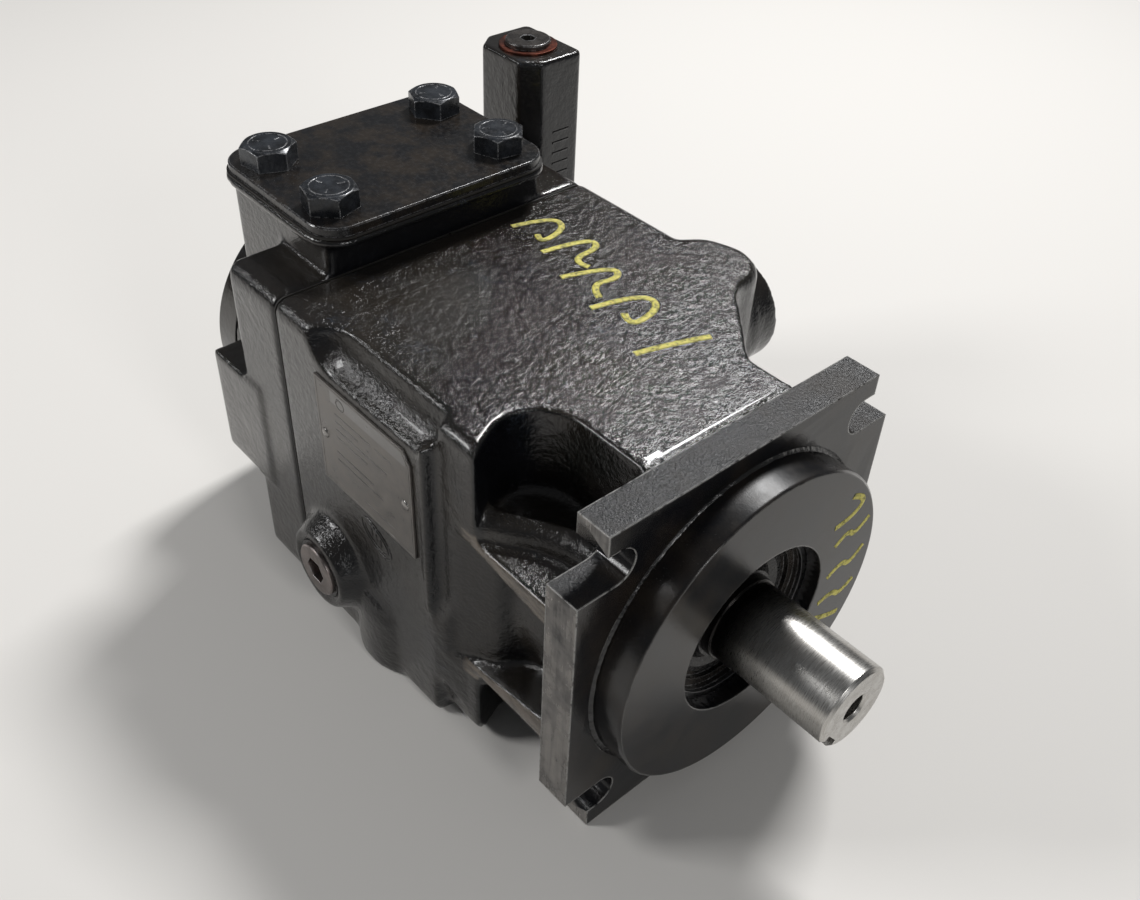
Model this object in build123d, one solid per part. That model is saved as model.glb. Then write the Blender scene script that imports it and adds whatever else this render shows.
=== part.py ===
"""Variable-displacement axial piston pump, built as separate pieces in one frame.

The origin is where the shaft axis meets the seating face of the mounting flange. +X runs out
along the drive shaft, +Z is up and the nameplate is on the -Y side. Everything is in millimetres.
The swashplate is modelled at zero displacement, square to the shaft.
"""
from build123d import *
import os
from math import cos, degrees, radians, sin

# ---- mounting flange, 127 mm pilot, four bolts ----
FLANGE_HALF = 73.0
FLANGE_TOP = 72.7
FLANGE_THICK = 14.0
BOLT_HALF = 57.25
SLOT_WIDTH = 14.3
BAR_HALF = 61.8
PILOT_DIA = 127.0
PILOT_HIGH = 12.7
PILOT_GROOVE_DEEP = 0.8
PILOT_GROOVE_WIDE = 1.8

# ---- housing casting ----
HOUSING_LENGTH = 163.0
JOINT_X = -HOUSING_LENGTH
BODY_HALF = 74.0
BODY_CORNER_R = 5.0
SHOULDER_X = -73.0
NECK_HALF = 69.5
NECK_R = 58.0
NECK_LOWER_R = 11.0
WALL = 7.0
CAVITY_R = 70.0
CAVITY_TOP = 64.0
CAVITY_FRONT_X = -69.0
TILT_ROOM_R = 53.0
SIDE_RAMP = ((-73.5, 68.5), (-73.5, 74.0), (-57.0, 69.0))
SIDE_RAMP_END = ((-68.5, -4.0), (-74.5, -22.0), (-74.5, -44.0), (-68.5, -62.0))
FLUTE_X = (-127.5, -67.0)
FLUTE_R = 16.0
FLUTE_Y, FLUTE_Z = -79.4, 74.0
BEAD_WIDE = 3.0
BEAD_PROUD = 1.0
BEAD_Z = (-14.0, 63.0)

# ---- corner pockets in plan, x and distance from the middle, and their bowls and webs ----
NEAR_POCKET = ((-42.9, 34.0), (-50.2, 35.5), (-59.3, 42.3), (-61.1, 51.8), (-57.2, 61.2), (-52.5, 70.5))
FAR_POCKET = ((-30.0, 34.0), (-38.2, 38.0), (-47.1, 46.0), (-57.0, 55.0), (-65.0, 62.5), (-69.0, 73.0))
POCKET_INNER = 34.0
POCKET_FRONT_X = 4.0
LIP = ((-70.0, 69.0), (-57.0, 68.5), (-48.0, 64.5), (-39.0, 58.5), (-28.0, 53.5), (-14.0, 51.5), (4.0, 51.5))
LIP_Z = 44.0
LIP_WIDE = 8.5
LIP_ROUND = 7.0
BOWL_Z = 38.0
BOWL_FILLET = 4.0
WEB_Z_OUT = 34.0
RECESS_HALF = (32.0, 23.0)
RECESS_RAMP = ((-67.0, 70.0), (-50.0, 62.8), (-43.0, 55.0))

# ---- far-side case-drain boss and near-side plug boss ----
DRAIN_BOSS_X, DRAIN_BOSS_Z = -98.0, 34.0
DRAIN_BOSS_R = 24.0
DRAIN_BLOCK = ((-116.0, 60.0), (-100.5, 83.0), (-85.0, 88.0), (-70.0, 83.0), (-66.0, 60.0))
DRAIN_BLOCK_CORNER_R = 14.0
DRAIN_BLOCK_ROUND = 4.0
DRAIN_COLLAR_R = 23.4
DRAIN_BOSS_FACE = 93.0
DRAIN_COLLAR_FACE = 104.0
DRAIN_THREAD_R = 13.0
DRAIN_THREAD_DEEP = 17.0
PLUG_X, PLUG_Z = -138.0, -37.0
PLUG_BOSS_R = (17.0, 22.0)
PLUG_BOSS_PROUD = 10.0
PLUG_SPOT_R = 14.2
PLUG_SPOT_DEEP = 2.0
PLUG_R = 11.3
PLUG_THREAD_R = 9.0
PLUG_HEAD = 1.8
PLUG_SOCKET = 10.0
PLUG_SOCKET_DEEP = 6.0
WASHER_THICK = 1.0
BELLY_X, BELLY_R = -112.5, 26.0
BELLY_PROUD = 4.5
BELLY_TOP_Z = -33.0
BELLY_ROUND = 12.0

# ---- port block with its suction tower ----
GASKET_THICK = 0.6
BLOCK_THICK = 32.4
REAR_BOSS_R = 57.8
REAR_BOSS_LENGTH = 42.0
COVER_THICK = 15.8
TOWER_HALF = 50.0
TOWER_REAR_X = JOINT_X - 69.0
TOWER_TOP = 85.0
PORT_X = JOINT_X - 35.0
RIM_HALF_X = 40.5
RIM_HALF_Y = 54.0
RIM_CORNER_R = 14.0
RIM_THICK = 3.5
SUCTION_DIA = 50.8
SUCTION_SPACING = (42.88, 77.77)
SUCTION_FLOOR = 30.0
PRESSURE_X = JOINT_X - 32.0
PRESSURE_PAD_REAR_X = JOINT_X - 62.0
PRESSURE_PAD_HALF = 38.0
PRESSURE_PAD_TOP = -40.0
PRESSURE_DIA = 25.4
PRESSURE_SPACING = (26.19, 52.37)
PRESSURE_THREAD_R = 5.0
PORT_THREAD_R = 6.0
PORT_THREAD_DEEP = 22.0
SIDE_PAD_X = (JOINT_X - 58.0, JOINT_X - 21.5)
SIDE_PAD_Z = (-30.0, 20.0)
SIDE_PAD_FACE = 75.2
CHAMBER_R = 22.0

# ---- cover plate and its hexagon bolts ----
PLATE_THICK = 3.6
PLATE_INSET = 1.5
COVER_GASKET_THICK = 0.7
HEX_FLATS = 19.0
HEX_HEAD = 8.0
HEX_CHAMFER_R = 9.1

# ---- socket screws ----
SCREW_R = 6.0
SCREW_HEAD_R = 9.0
SCREW_HEAD = 12.0
SCREW_SINK = 12.6
SCREW_GRIP = 20.0
BLOCK_SCREW_Y, BLOCK_SCREW_Z = 61.0, 60.0
COVER_SCREW_CIRCLE_R = 45.0

# ---- drive shaft and its bearings ----
SHAFT_END = 56.0
SHAFT_R = 15.875
SHAFT_CHAMFER = 1.3
KEYWAY_WIDE = 7.94
KEYWAY_DEEP = 3.9
KEYWAY_LENGTH = 38.0
CENTRE_HOLE_R = 5.0
CENTRE_HOLE_DEEP = 28.0
SEAL_JOURNAL_R = 16.8
BEARING_JOURNAL_R = 17.5
SHOULDER_R = 19.0
MID_SHAFT_R = 15.0
REAR_JOURNAL_R = 12.5
STUB_R = 10.0
BORE_R = 34.0
BEARING_X = (-28.0, -10.0)
RACE_THICK = 4.5
ROLLER_R = 3.2
ROLLER_COUNT = 16
NEEDLE_R = 1.5
NEEDLE_COUNT = 26
NEEDLE_X = (JOINT_X - 26.0, JOINT_X - 6.0)
CUP_THICK = 2.0
RUNNING = 0.05
SNAP_RING_X = (4.6, 6.4)

# ---- rotating group ----
PIVOT_X = -88.0
PISTON_COUNT = 9
PITCH_R = 34.0
FULL_TILT = 16.0
PISTON_R = 8.6
BALL_R = 6.5
BALL_NECK_R = 4.2
SLIPPER_R = 9.3
SLIPPER_NECK_R = 8.0
SLIPPER_SEAT = 9.0
SLIPPER_SOCKET_END = 3.0
SLIPPER_FOOT = 3.0
PISTON_TAIL = 48.0
BARREL_FRONT_X = -106.0
BARREL_R = 47.0
BORE_END_X = JOINT_X + 14.0
VALVE_PLATE_THICK = 3.0
VALVE_PLATE_R = 44.0
KIDNEY_HALF_WIDE = 4.5
PORT_SECTOR = (28.5, 39.5)
PORT_ANGLES = (25.0, 155.0)
SPLINE_TEETH = 12
SPLINE_DEEP = 1.2
GUIDE_R = 21.0
SWASH_R = 46.0
SWASH_THICK = 10.0
ROCKER_R = 38.0
ROCKER_Z = (22.0, 40.0)
ROCKER_HALF_Y = 25.0
CRADLE_THICK = 2.4
CRADLE_HALF_ANGLE = 42.0
SADDLE_ROOM = 2.43
ARM_REACH = 62.0
ARM_HALF_Z = 11.0
ARM_THICK = 12.0
SERVO_Y = 57.5
SERVO_R = 7.0
SERVO_TIP_R = 5.0
SERVO_GAP = 0.2
SLEEVE_R = 9.0
SLEEVE_FRONT_X = -118.0
SERVO_TAIL_X = (JOINT_X + 23.0, JOINT_X + 7.5)
SPRING_WIRE_R = 1.2
SPRING_MEAN_R = 7.9
SPRING_TURNS = 5

# ---- compensator ----
COMP_X = (JOINT_X - 73.0, JOINT_X - 35.5)
COMP_Y = (72.5, 103.0)
COMP_Z = (-22.0, 110.0)
COMP_CHAMFER = 8.0
COMP_PAD_Z = (-28.0, 46.0)
COMP_WASHER_R = 12.6
COMP_PLUG_R = 9.8
COMP_PLUG_HEAD = 2.2
SPOOL_R = 5.0
SPOOL_Z = (2.0, 58.0)
SPOOL_TRAVEL = 2.0
SPRING_CHAMBER_R = 9.0
SPRING_TOP = 84.0

# ---- derived places ----
BLOCK_X = JOINT_X - GASKET_THICK
BLOCK_REAR_X = BLOCK_X - BLOCK_THICK
BOSS_REAR_X = BLOCK_REAR_X - REAR_BOSS_LENGTH
RIM_TOP = TOWER_TOP + RIM_THICK
PLATE_BOTTOM = RIM_TOP + COVER_GASKET_THICK
PLATE_TOP = PLATE_BOTTOM + PLATE_THICK
TILT_SHIFT = PITCH_R * (1 - cos(radians(FULL_TILT)))
BALL_CIRCLE_R = PITCH_R + TILT_SHIFT / 2
BARREL_BORE_R = PISTON_R + TILT_SHIFT / 2 + RUNNING
BARREL_REAR_X = BLOCK_X + VALVE_PLATE_THICK + RUNNING
RUNNING_FACE_X = PIVOT_X + SLIPPER_SEAT
SWASH_FRONT_X = RUNNING_FACE_X + SWASH_THICK
INNER_RACE_R = BEARING_JOURNAL_R + RACE_THICK
ROLLER_PITCH_R = INNER_RACE_R + ROLLER_R + RUNNING
OUTER_RACE_R = ROLLER_PITCH_R + ROLLER_R + RUNNING
NEEDLE_PITCH_R = REAR_JOURNAL_R + NEEDLE_R + RUNNING
CUP_INNER_R = NEEDLE_PITCH_R + NEEDLE_R + RUNNING
CUP_OUTER_R = CUP_INNER_R + CUP_THICK
CRADLE_OUTER_R = ROCKER_R + RUNNING + CRADLE_THICK
TIP_X = PIVOT_X - SERVO_GAP - SERVO_TIP_R
COMP_CENTRE = (sum(COMP_X) / 2, sum(COMP_Y) / 2)


# ---- small helpers ----
def bar(x, y, z):
    """A block between pairs of coordinates."""
    size = [abs(b - a) for a, b in (x, y, z)]
    middle = [(a + b) / 2 for a, b in (x, y, z)]
    return Pos(*middle) * Box(*size)


def rod_x(x, r, y=0.0, z=0.0):
    """A cylinder along X between two stations."""
    return Pos((x[0] + x[1]) / 2, y, z) * Rot(0, 90, 0) * Cylinder(r, abs(x[1] - x[0]))


def rod_y(y, r, x=0.0, z=0.0):
    """A cylinder along Y between two stations."""
    return Pos(x, (y[0] + y[1]) / 2, z) * Rot(90, 0, 0) * Cylinder(r, abs(y[1] - y[0]))


def rod_z(z, r, x=0.0, y=0.0):
    """A cylinder along Z between two stations."""
    return Pos(x, y, (z[0] + z[1]) / 2) * Cylinder(r, abs(z[1] - z[0]))


def turned(points):
    """A ring turned about X from (x, radius) points."""
    outline = make_face(Polyline(*[(x, r) for x, r in points], close=True))
    return revolve(outline, Axis.X, 360)


def ball(r, x=PIVOT_X, y=0.0, z=0.0):
    """A ball with its poles along X."""
    return Pos(x, y, z) * Rot(0, 90, 0) * Sphere(r)


def across(x, sketch, length):
    """A sketch drawn in Y and Z, extruded along +X from a station."""
    return extrude(Plane((x, 0, 0), x_dir=(0, 1, 0), z_dir=(1, 0, 0)) * sketch, length, dir=(1, 0, 0))


def upward(z, sketch, height):
    """A sketch drawn in X and Y, extruded up from a level."""
    return extrude(Plane((0, 0, z)) * sketch, height, dir=(0, 0, 1))


def hexagon_prism(flats, height):
    """A hexagonal prism standing on the XY plane."""
    return extrude(RegularPolygon(flats / 2, 6, major_radius=False), height)


def on_circle(count, r, start=0.0):
    """Y and Z of equally spaced points about the shaft axis."""
    steps = [radians(start + 360 * i / count) for i in range(count)]
    return [(r * cos(a), r * sin(a)) for a in steps]


def sector(x, radii, angles):
    """A ring sector about the shaft axis, from +Y towards +Z, with round ends."""
    pitch, half = sum(radii) / 2, (radii[1] - radii[0]) / 2
    ring = rod_x(x, radii[1]) - rod_x(x, radii[0])
    start, end = [radians(a) for a in angles]
    middle, reach = (start + end) / 2, 4 * radii[1]
    wedge = Polygon(
        (0, 0),
        (reach * cos(start), reach * sin(start)),
        (reach * cos(middle), reach * sin(middle)),
        (reach * cos(end), reach * sin(end)),
        align=None,
    )
    slot = ring & across(min(x), wedge, abs(x[1] - x[0]))
    for a in (start, end):
        slot += rod_x(x, half, pitch * cos(a), pitch * sin(a))
    return slot


def save(shape, name):
    """Write one piece, or a group of like pieces, to its own file."""
    export_step(shape, f"parts/{name}.step")


# ---- housing ----
def flange():
    """The square mounting flange with its four side-open bolt slots and its pilot."""
    plate = bar((-FLANGE_THICK, 0), (-FLANGE_HALF, FLANGE_HALF), (-FLANGE_TOP, FLANGE_TOP))
    slot_top = BOLT_HALF + SLOT_WIDTH / 2
    for side in (-1, 1):
        for level in (-1, 1):
            y, z = side * BOLT_HALF, level * BOLT_HALF
            reach = side * (FLANGE_HALF + 1)
            plate -= rod_x((-FLANGE_THICK - 1, 1), SLOT_WIDTH / 2, y, z)
            plate -= bar((-FLANGE_THICK - 1, 1), (y, reach), (z - SLOT_WIDTH / 2, z + SLOT_WIDTH / 2))
            plate -= bar(
                (-FLANGE_THICK - 1, 1),
                (side * BAR_HALF, reach),
                (level * (slot_top - 1), level * (FLANGE_TOP + 1)),
            )
    groove_r = PILOT_DIA / 2 + PILOT_GROOVE_WIDE
    plate -= rod_x((-PILOT_GROOVE_DEEP, 1), groove_r)
    pilot = turned([
        (-2, 0), (-2, PILOT_DIA / 2), (PILOT_HIGH - 1, PILOT_DIA / 2), (PILOT_HIGH, PILOT_DIA / 2 - 1),
        (PILOT_HIGH, 0),
    ])
    return plate + pilot


def pocket_plan(points):
    """The plan of one pocket on the +Y side, open towards the flange and the side."""
    front = POCKET_FRONT_X
    first, before, last = points[0], points[-2], points[-1]
    leaving = (last[0] - before[0], last[1] - before[1])
    wall = Line((front, POCKET_INNER), first) + Spline(*points, tangents=[(-1, 0), leaving])
    mouth = Polyline(last, (last[0], 120), (front, 120), (front, POCKET_INNER))
    return make_face(wall + mouth)


def inside_lip(shift):
    """The plan of the area inside the pocket's lip, moved in by a distance."""
    points = [(x, y - shift) for x, y in LIP]
    first, last = points[0], points[-1]
    return make_face(Spline(*points) + Polyline(last, (last[0], 0), (first[0], 0), first))


def pocket(points):
    """One upper pocket on the +Y side: a bowl behind a low rounded lip, and the web beside it."""
    plan = pocket_plan(points)
    room = upward(WEB_Z_OUT, plan, 60)
    dam = upward(WEB_Z_OUT - 1, inside_lip(0), LIP_Z - WEB_Z_OUT + 1)
    crest = dam.edges().group_by(Axis.Z)[-1].sort_by(Axis.Y)[-1]
    dam = fillet(crest, LIP_ROUND)
    bowl = upward(BOWL_Z, plan & inside_lip(LIP_WIDE), 60)
    walls = [e for e in bowl.edges().group_by(Axis.Z)[0] if e.center().X < POCKET_FRONT_X - 1]
    bowl = fillet(walls, BOWL_FILLET)
    return (room - dam) + bowl


def corner_pockets():
    """The four open pockets that let a spanner reach the mounting bolts."""
    far, near = pocket(FAR_POCKET), mirror(pocket(NEAR_POCKET), Plane.XZ)
    return [far, near, mirror(far, Plane.XY), mirror(near, Plane.XY)]


def neck_recesses():
    """The hollows between the webs, which follow the round neck and run out on the side."""
    rear_x = RECESS_RAMP[0][0]
    front = -FLANGE_THICK
    height = Polygon(
        (rear_x, -RECESS_HALF[0]), (front, -RECESS_HALF[1]), (front, RECESS_HALF[1]), (rear_x, RECESS_HALF[0]),
        align=None,
    )
    plan = Polygon(*RECESS_RAMP, (front, 40), (front, 100), (rear_x, 100), align=None)
    prism = extrude(Plane((0, 0, 0), x_dir=(1, 0, 0), z_dir=(0, -1, 0)) * height, 200, both=True)
    recess = (upward(-50, plan, 100) & prism) - rod_x((-100, 0), NECK_R)
    return [recess, mirror(recess, Plane.XZ)]


def housing_cavity():
    """The room for the rotating group, the tilting swashplate and its arms."""
    half_y = BODY_HALF - WALL
    rear = bar((JOINT_X - 1, CAVITY_FRONT_X), (-half_y, half_y), (-CAVITY_TOP, CAVITY_TOP))
    cavity = rear & rod_x((JOINT_X - 1, CAVITY_FRONT_X), CAVITY_R)
    cavity += rod_x((CAVITY_FRONT_X - 1, -62), TILT_ROOM_R)
    saddle_half = ROCKER_Z[1] + 0.5
    saddle_y = CRADLE_OUTER_R * sin(radians(CRADLE_HALF_ANGLE)) + SADDLE_ROOM
    saddles = rod_z((-saddle_half, saddle_half), CRADLE_OUTER_R, PIVOT_X)
    cavity += saddles & bar((PIVOT_X, 0), (-saddle_y, saddle_y), (-saddle_half, saddle_half))
    cavity += bar((-63, -56.5), (-32.5, 32.5), (-saddle_half, saddle_half))
    cavity += bar((-63, -53), (-42, 42), (-ROCKER_Z[0] - 6, ROCKER_Z[0] + 6))
    arm_z = (-ARM_HALF_Z - 3, ARM_HALF_Z + 3)
    cavity += bar((CAVITY_FRONT_X - 1, -61), (-half_y + 3, half_y - 3), arm_z)
    cavity += bar((-63, -54.5), (-60, 60), arm_z)
    cavity += rod_x((PIVOT_X, BEARING_X[0]), SHOULDER_R + 3)
    cavity += rod_x((BEARING_X[0], PILOT_HIGH + 1), BORE_R)
    cavity += rod_x(SNAP_RING_X, BORE_R + 1.7)
    return cavity


def neck():
    """The square neck with its pockets, webs and side hollows."""
    section = Rectangle(2 * NECK_HALF, 2 * FLANGE_TOP)
    upper = section.vertices().group_by(Axis.Y)[-1]
    section = fillet(upper, BODY_CORNER_R)
    lower = section.vertices().group_by(Axis.Y)[0]
    section = fillet(lower, NECK_LOWER_R)
    solid = across(SHOULDER_X, section, -SHOULDER_X - FLANGE_THICK)
    ramp = upward(-FLANGE_TOP, Polygon(*[(x, -y) for x, y in SIDE_RAMP], align=None), FLANGE_TOP)
    solid += ramp & across(SHOULDER_X - 1, Polygon(*SIDE_RAMP_END, align=None), -SHOULDER_X)
    for cut in corner_pockets() + neck_recesses():
        solid -= cut
    return solid


def drain_boss():
    """The far-side boss, level with the top of the body, and its round collar."""
    plan = Polygon(*DRAIN_BLOCK, align=None)
    corners = plan.vertices().group_by(Axis.Y)[1:]
    plan = fillet([corner for group in corners for corner in group], DRAIN_BLOCK_CORNER_R)
    block = upward(DRAIN_BOSS_Z, plan, FLANGE_TOP - DRAIN_BOSS_Z)
    root_y = DRAIN_BLOCK[0][1]
    crest = [e for e in block.edges().group_by(Axis.Z)[-1] if e.center().Y > root_y + 1]
    block = fillet(crest, DRAIN_BLOCK_ROUND)
    block += rod_y((50, DRAIN_BOSS_FACE), DRAIN_BOSS_R, DRAIN_BOSS_X, DRAIN_BOSS_Z)
    return block + rod_y((50, DRAIN_COLLAR_FACE), DRAIN_COLLAR_R, DRAIN_BOSS_X, DRAIN_BOSS_Z)


def plug_boss():
    """The cone-shaped boss round the near-side plug."""
    face_r, root_r = PLUG_BOSS_R
    slope = (root_r - face_r) / PLUG_BOSS_PROUD
    root = 4.0
    cone = Cone(root_r + slope * root, face_r, PLUG_BOSS_PROUD + root, align=(Align.CENTER, Align.CENTER, Align.MAX))
    return Pos(PLUG_X, -BODY_HALF - PLUG_BOSS_PROUD, PLUG_Z) * near_side(cone)


def main_housing():
    """The cast housing: flange, neck with webs, body, bosses and the cavity inside."""
    body = across(
        JOINT_X,
        RectangleRounded(2 * BODY_HALF, 2 * FLANGE_TOP, BODY_CORNER_R),
        HOUSING_LENGTH + SHOULDER_X,
    )
    flute = rod_x(FLUTE_X, FLUTE_R, FLUTE_Y, FLUTE_Z) + ball(FLUTE_R, FLUTE_X[0], FLUTE_Y, FLUTE_Z)
    body -= flute
    solid = body + neck() + flange() + drain_boss() + plug_boss()
    bead_x = (SHOULDER_X - BEAD_WIDE, SHOULDER_X)
    solid += bar(bead_x, (-BODY_HALF - BEAD_PROUD, -BODY_HALF + 4), BEAD_Z)
    belly_y = -BODY_HALF - BELLY_PROUD + BELLY_R
    belly = rod_z((-FLANGE_TOP, BELLY_TOP_Z), BELLY_R, BELLY_X, belly_y)
    belly = fillet(belly.edges().sort_by(Axis.Z)[-1], BELLY_ROUND)
    solid += belly
    solid -= housing_cavity()
    spot_y = (-BODY_HALF - PLUG_BOSS_PROUD - 1, -BODY_HALF - PLUG_BOSS_PROUD + PLUG_SPOT_DEEP)
    solid -= rod_y(spot_y, PLUG_SPOT_R, PLUG_X, PLUG_Z)
    thread_y = (DRAIN_COLLAR_FACE - DRAIN_THREAD_DEEP, DRAIN_COLLAR_FACE + 1)
    solid -= rod_y(thread_y, DRAIN_THREAD_R, DRAIN_BOSS_X, DRAIN_BOSS_Z)
    solid -= rod_y((BODY_HALF - WALL - 1, DRAIN_COLLAR_FACE), DRAIN_THREAD_R - 3, DRAIN_BOSS_X, DRAIN_BOSS_Z)
    solid -= rod_y((-BODY_HALF - PLUG_BOSS_PROUD - 1, -BODY_HALF + WALL + 1), PLUG_THREAD_R, PLUG_X, PLUG_Z)
    for y, z in block_screw_places():
        solid -= rod_x((JOINT_X - 1, JOINT_X + SCREW_GRIP), SCREW_R, y, z)
    return solid


def block_screw_places():
    """Y and Z of the four screws that hold the port block."""
    return [(y, z) for y in (-BLOCK_SCREW_Y, BLOCK_SCREW_Y) for z in (-BLOCK_SCREW_Z, BLOCK_SCREW_Z)]


def housing_gasket():
    """The flat gasket between the housing and the port block."""
    outline = RectangleRounded(2 * BODY_HALF - 1, 2 * FLANGE_TOP - 1, BODY_CORNER_R)
    room = Rectangle(2 * (BODY_HALF - WALL), 2 * CAVITY_TOP) & Circle(CAVITY_R)
    sheet = across(BLOCK_X, outline - room, GASKET_THICK)
    for y, z in block_screw_places():
        sheet -= rod_x((BLOCK_X - 1, JOINT_X + 1), SCREW_R, y, z)
    return sheet


# ---- port block and covers ----
def port_bolt_places(centre_x, spacing):
    """X and Y of the four bolts about a port."""
    return [
        (centre_x + sx * spacing[0] / 2, sy * spacing[1] / 2)
        for sx in (-1, 1)
        for sy in (-1, 1)
    ]


def port_block():
    """The rear block with the suction tower, both ports, the side pad and the round boss."""
    block = across(BLOCK_REAR_X, RectangleRounded(2 * BODY_HALF, 2 * FLANGE_TOP, BODY_CORNER_R + 1), BLOCK_THICK)
    block += rod_x((BOSS_REAR_X, BLOCK_REAR_X), REAR_BOSS_R)
    tower_x = (TOWER_REAR_X, BLOCK_X)
    tower = bar(tower_x, (-TOWER_HALF, TOWER_HALF), (0, TOWER_TOP))
    block += fillet(tower.edges().filter_by(Axis.Z), 2.5)
    rim = Pos(PORT_X, 0) * RectangleRounded(2 * RIM_HALF_X, 2 * RIM_HALF_Y, RIM_CORNER_R)
    block += upward(TOWER_TOP, rim, RIM_THICK)
    block += bar(SIDE_PAD_X, (-SIDE_PAD_FACE, -30), SIDE_PAD_Z)
    block += bar((COMP_X[0], BLOCK_X - 8), (30, COMP_Y[0]), COMP_PAD_Z)
    pad_y = (-PRESSURE_PAD_HALF, PRESSURE_PAD_HALF)
    block += bar((PRESSURE_PAD_REAR_X, BLOCK_X), pad_y, (-FLANGE_TOP, PRESSURE_PAD_TOP))
    block -= rod_z((SUCTION_FLOOR, RIM_TOP + 1), SUCTION_DIA / 2, PORT_X)
    depth = (BLOCK_X - 22, BLOCK_X + 1)
    block -= sector(depth, PORT_SECTOR, PORT_ANGLES)
    block -= sector(depth, PORT_SECTOR, [a + 180 for a in PORT_ANGLES])
    block -= rod_z((-FLANGE_TOP - 1, -PITCH_R), PRESSURE_DIA / 2, PRESSURE_X)
    for x, y in port_bolt_places(PORT_X, SUCTION_SPACING):
        block -= rod_z((RIM_TOP - PORT_THREAD_DEEP, RIM_TOP + 1), PORT_THREAD_R, x, y)
    for x, y in port_bolt_places(PRESSURE_X, PRESSURE_SPACING):
        block -= rod_z((-FLANGE_TOP - 1, -FLANGE_TOP + 15), PRESSURE_THREAD_R, x, y)
    block -= rod_x((NEEDLE_X[0] - 1, BLOCK_X + 1), CUP_OUTER_R)
    block -= rod_x((BLOCK_REAR_X - 8, NEEDLE_X[0]), REAR_JOURNAL_R + 1)
    block -= rod_x((BOSS_REAR_X - 1, BLOCK_REAR_X - 7), CHAMBER_R)
    for y, z in block_screw_places():
        block -= rod_x((BLOCK_REAR_X - 1, BLOCK_X + 1), SCREW_R + 0.5, y, z)
        block -= rod_x((BLOCK_REAR_X - 1, BLOCK_REAR_X + SCREW_SINK), SCREW_HEAD_R + 0.6, y, z)
    for y, z in on_circle(4, COVER_SCREW_CIRCLE_R, 45):
        block -= rod_x((BOSS_REAR_X - 1, BOSS_REAR_X + 16), SCREW_R - 1, y, z)
    for x, z in compensator_screw_places():
        block -= rod_y((COMP_Y[0] - 14, COMP_Y[0] + 1), 3.0, x, z)
    return block


def socket_screw(r, head_r, head, length):
    """A socket screw along X: its head starts at 0 and points to -X, its shank runs to +X."""
    screw = rod_x((-head, 0), head_r) + rod_x((0, length), r)
    socket = Plane((-head, 0, 0), x_dir=(0, 1, 0), z_dir=(1, 0, 0)) * RegularPolygon(
        head_r * 0.5, 6, major_radius=False
    )
    return screw - extrude(socket, head * 0.5)


def port_block_screws():
    """The four long screws sunk in the rear of the block."""
    screws = []
    for y, z in block_screw_places():
        length = BLOCK_THICK - SCREW_SINK + GASKET_THICK + SCREW_GRIP - 1
        screws.append(Pos(BLOCK_REAR_X + SCREW_SINK, y, z) * socket_screw(SCREW_R - 0.05, SCREW_HEAD_R, SCREW_HEAD, length))
    return Compound(children=screws)


def rear_cover():
    """The round cover over the rear chamber, with a spigot in it."""
    x = (BOSS_REAR_X - COVER_THICK, BOSS_REAR_X)
    cover = turned([
        (x[0], 0), (x[0], REAR_BOSS_R - 2), (x[0] + 2, REAR_BOSS_R), (x[1], REAR_BOSS_R),
        (x[1], CHAMBER_R - 0.1), (x[1] + 5, CHAMBER_R - 0.1), (x[1] + 5, 0),
    ])
    for y, z in on_circle(4, COVER_SCREW_CIRCLE_R, 45):
        cover -= rod_x((x[0] - 1, x[1] + 1), SCREW_R - 0.8, y, z)
        cover -= rod_x((x[0] - 1, x[0] + 9), SCREW_HEAD_R - 0.5, y, z)
    return cover


def rear_cover_screws():
    """The four sunk screws of the rear cover."""
    seat = BOSS_REAR_X - COVER_THICK + 9
    screw = socket_screw(SCREW_R - 1.05, SCREW_HEAD_R - 1, 8.5, 21)
    return Compound(children=[Pos(seat, y, z) * screw for y, z in on_circle(4, COVER_SCREW_CIRCLE_R, 45)])


def cover_outline(inset):
    """The outline shared by the cover plate and its gasket."""
    return Pos(PORT_X, 0) * RectangleRounded(
        2 * (RIM_HALF_X - inset), 2 * (RIM_HALF_Y - inset), RIM_CORNER_R - inset
    )


def port_cover_gasket():
    """The gasket under the shipping cover."""
    sheet = upward(RIM_TOP, cover_outline(0.6), COVER_GASKET_THICK)
    sheet -= rod_z((RIM_TOP - 1, PLATE_BOTTOM + 1), SUCTION_DIA / 2, PORT_X)
    for x, y in port_bolt_places(PORT_X, SUCTION_SPACING):
        sheet -= rod_z((RIM_TOP - 1, PLATE_BOTTOM + 1), PORT_THREAD_R + 0.5, x, y)
    return sheet


def port_cover_plate():
    """The shipping plate over the suction port."""
    plate = upward(PLATE_BOTTOM, cover_outline(PLATE_INSET), PLATE_THICK)
    plate = chamfer(plate.edges().group_by(Axis.Z)[-1], 0.5)
    for x, y in port_bolt_places(PORT_X, SUCTION_SPACING):
        plate -= rod_z((PLATE_BOTTOM - 1, PLATE_TOP + 1), PORT_THREAD_R + 0.5, x, y)
    return plate


def hex_bolt(length):
    """A hexagon bolt whose head stands on z = 0, with its shank below."""
    head = hexagon_prism(HEX_FLATS, HEX_HEAD)
    dome_top = HEX_CHAMFER_R
    cone = revolve(
        make_face(Polyline((0, 0, 0), (HEX_FLATS, 0, 0), (dome_top + 2.6, 0, HEX_HEAD - 1.5),
                           (dome_top, 0, HEX_HEAD), (0, 0, HEX_HEAD), close=True)),
        Axis.Z, 360,
    )
    return (head & cone) + rod_z((-length, 0), PORT_THREAD_R - 0.05)


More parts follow.
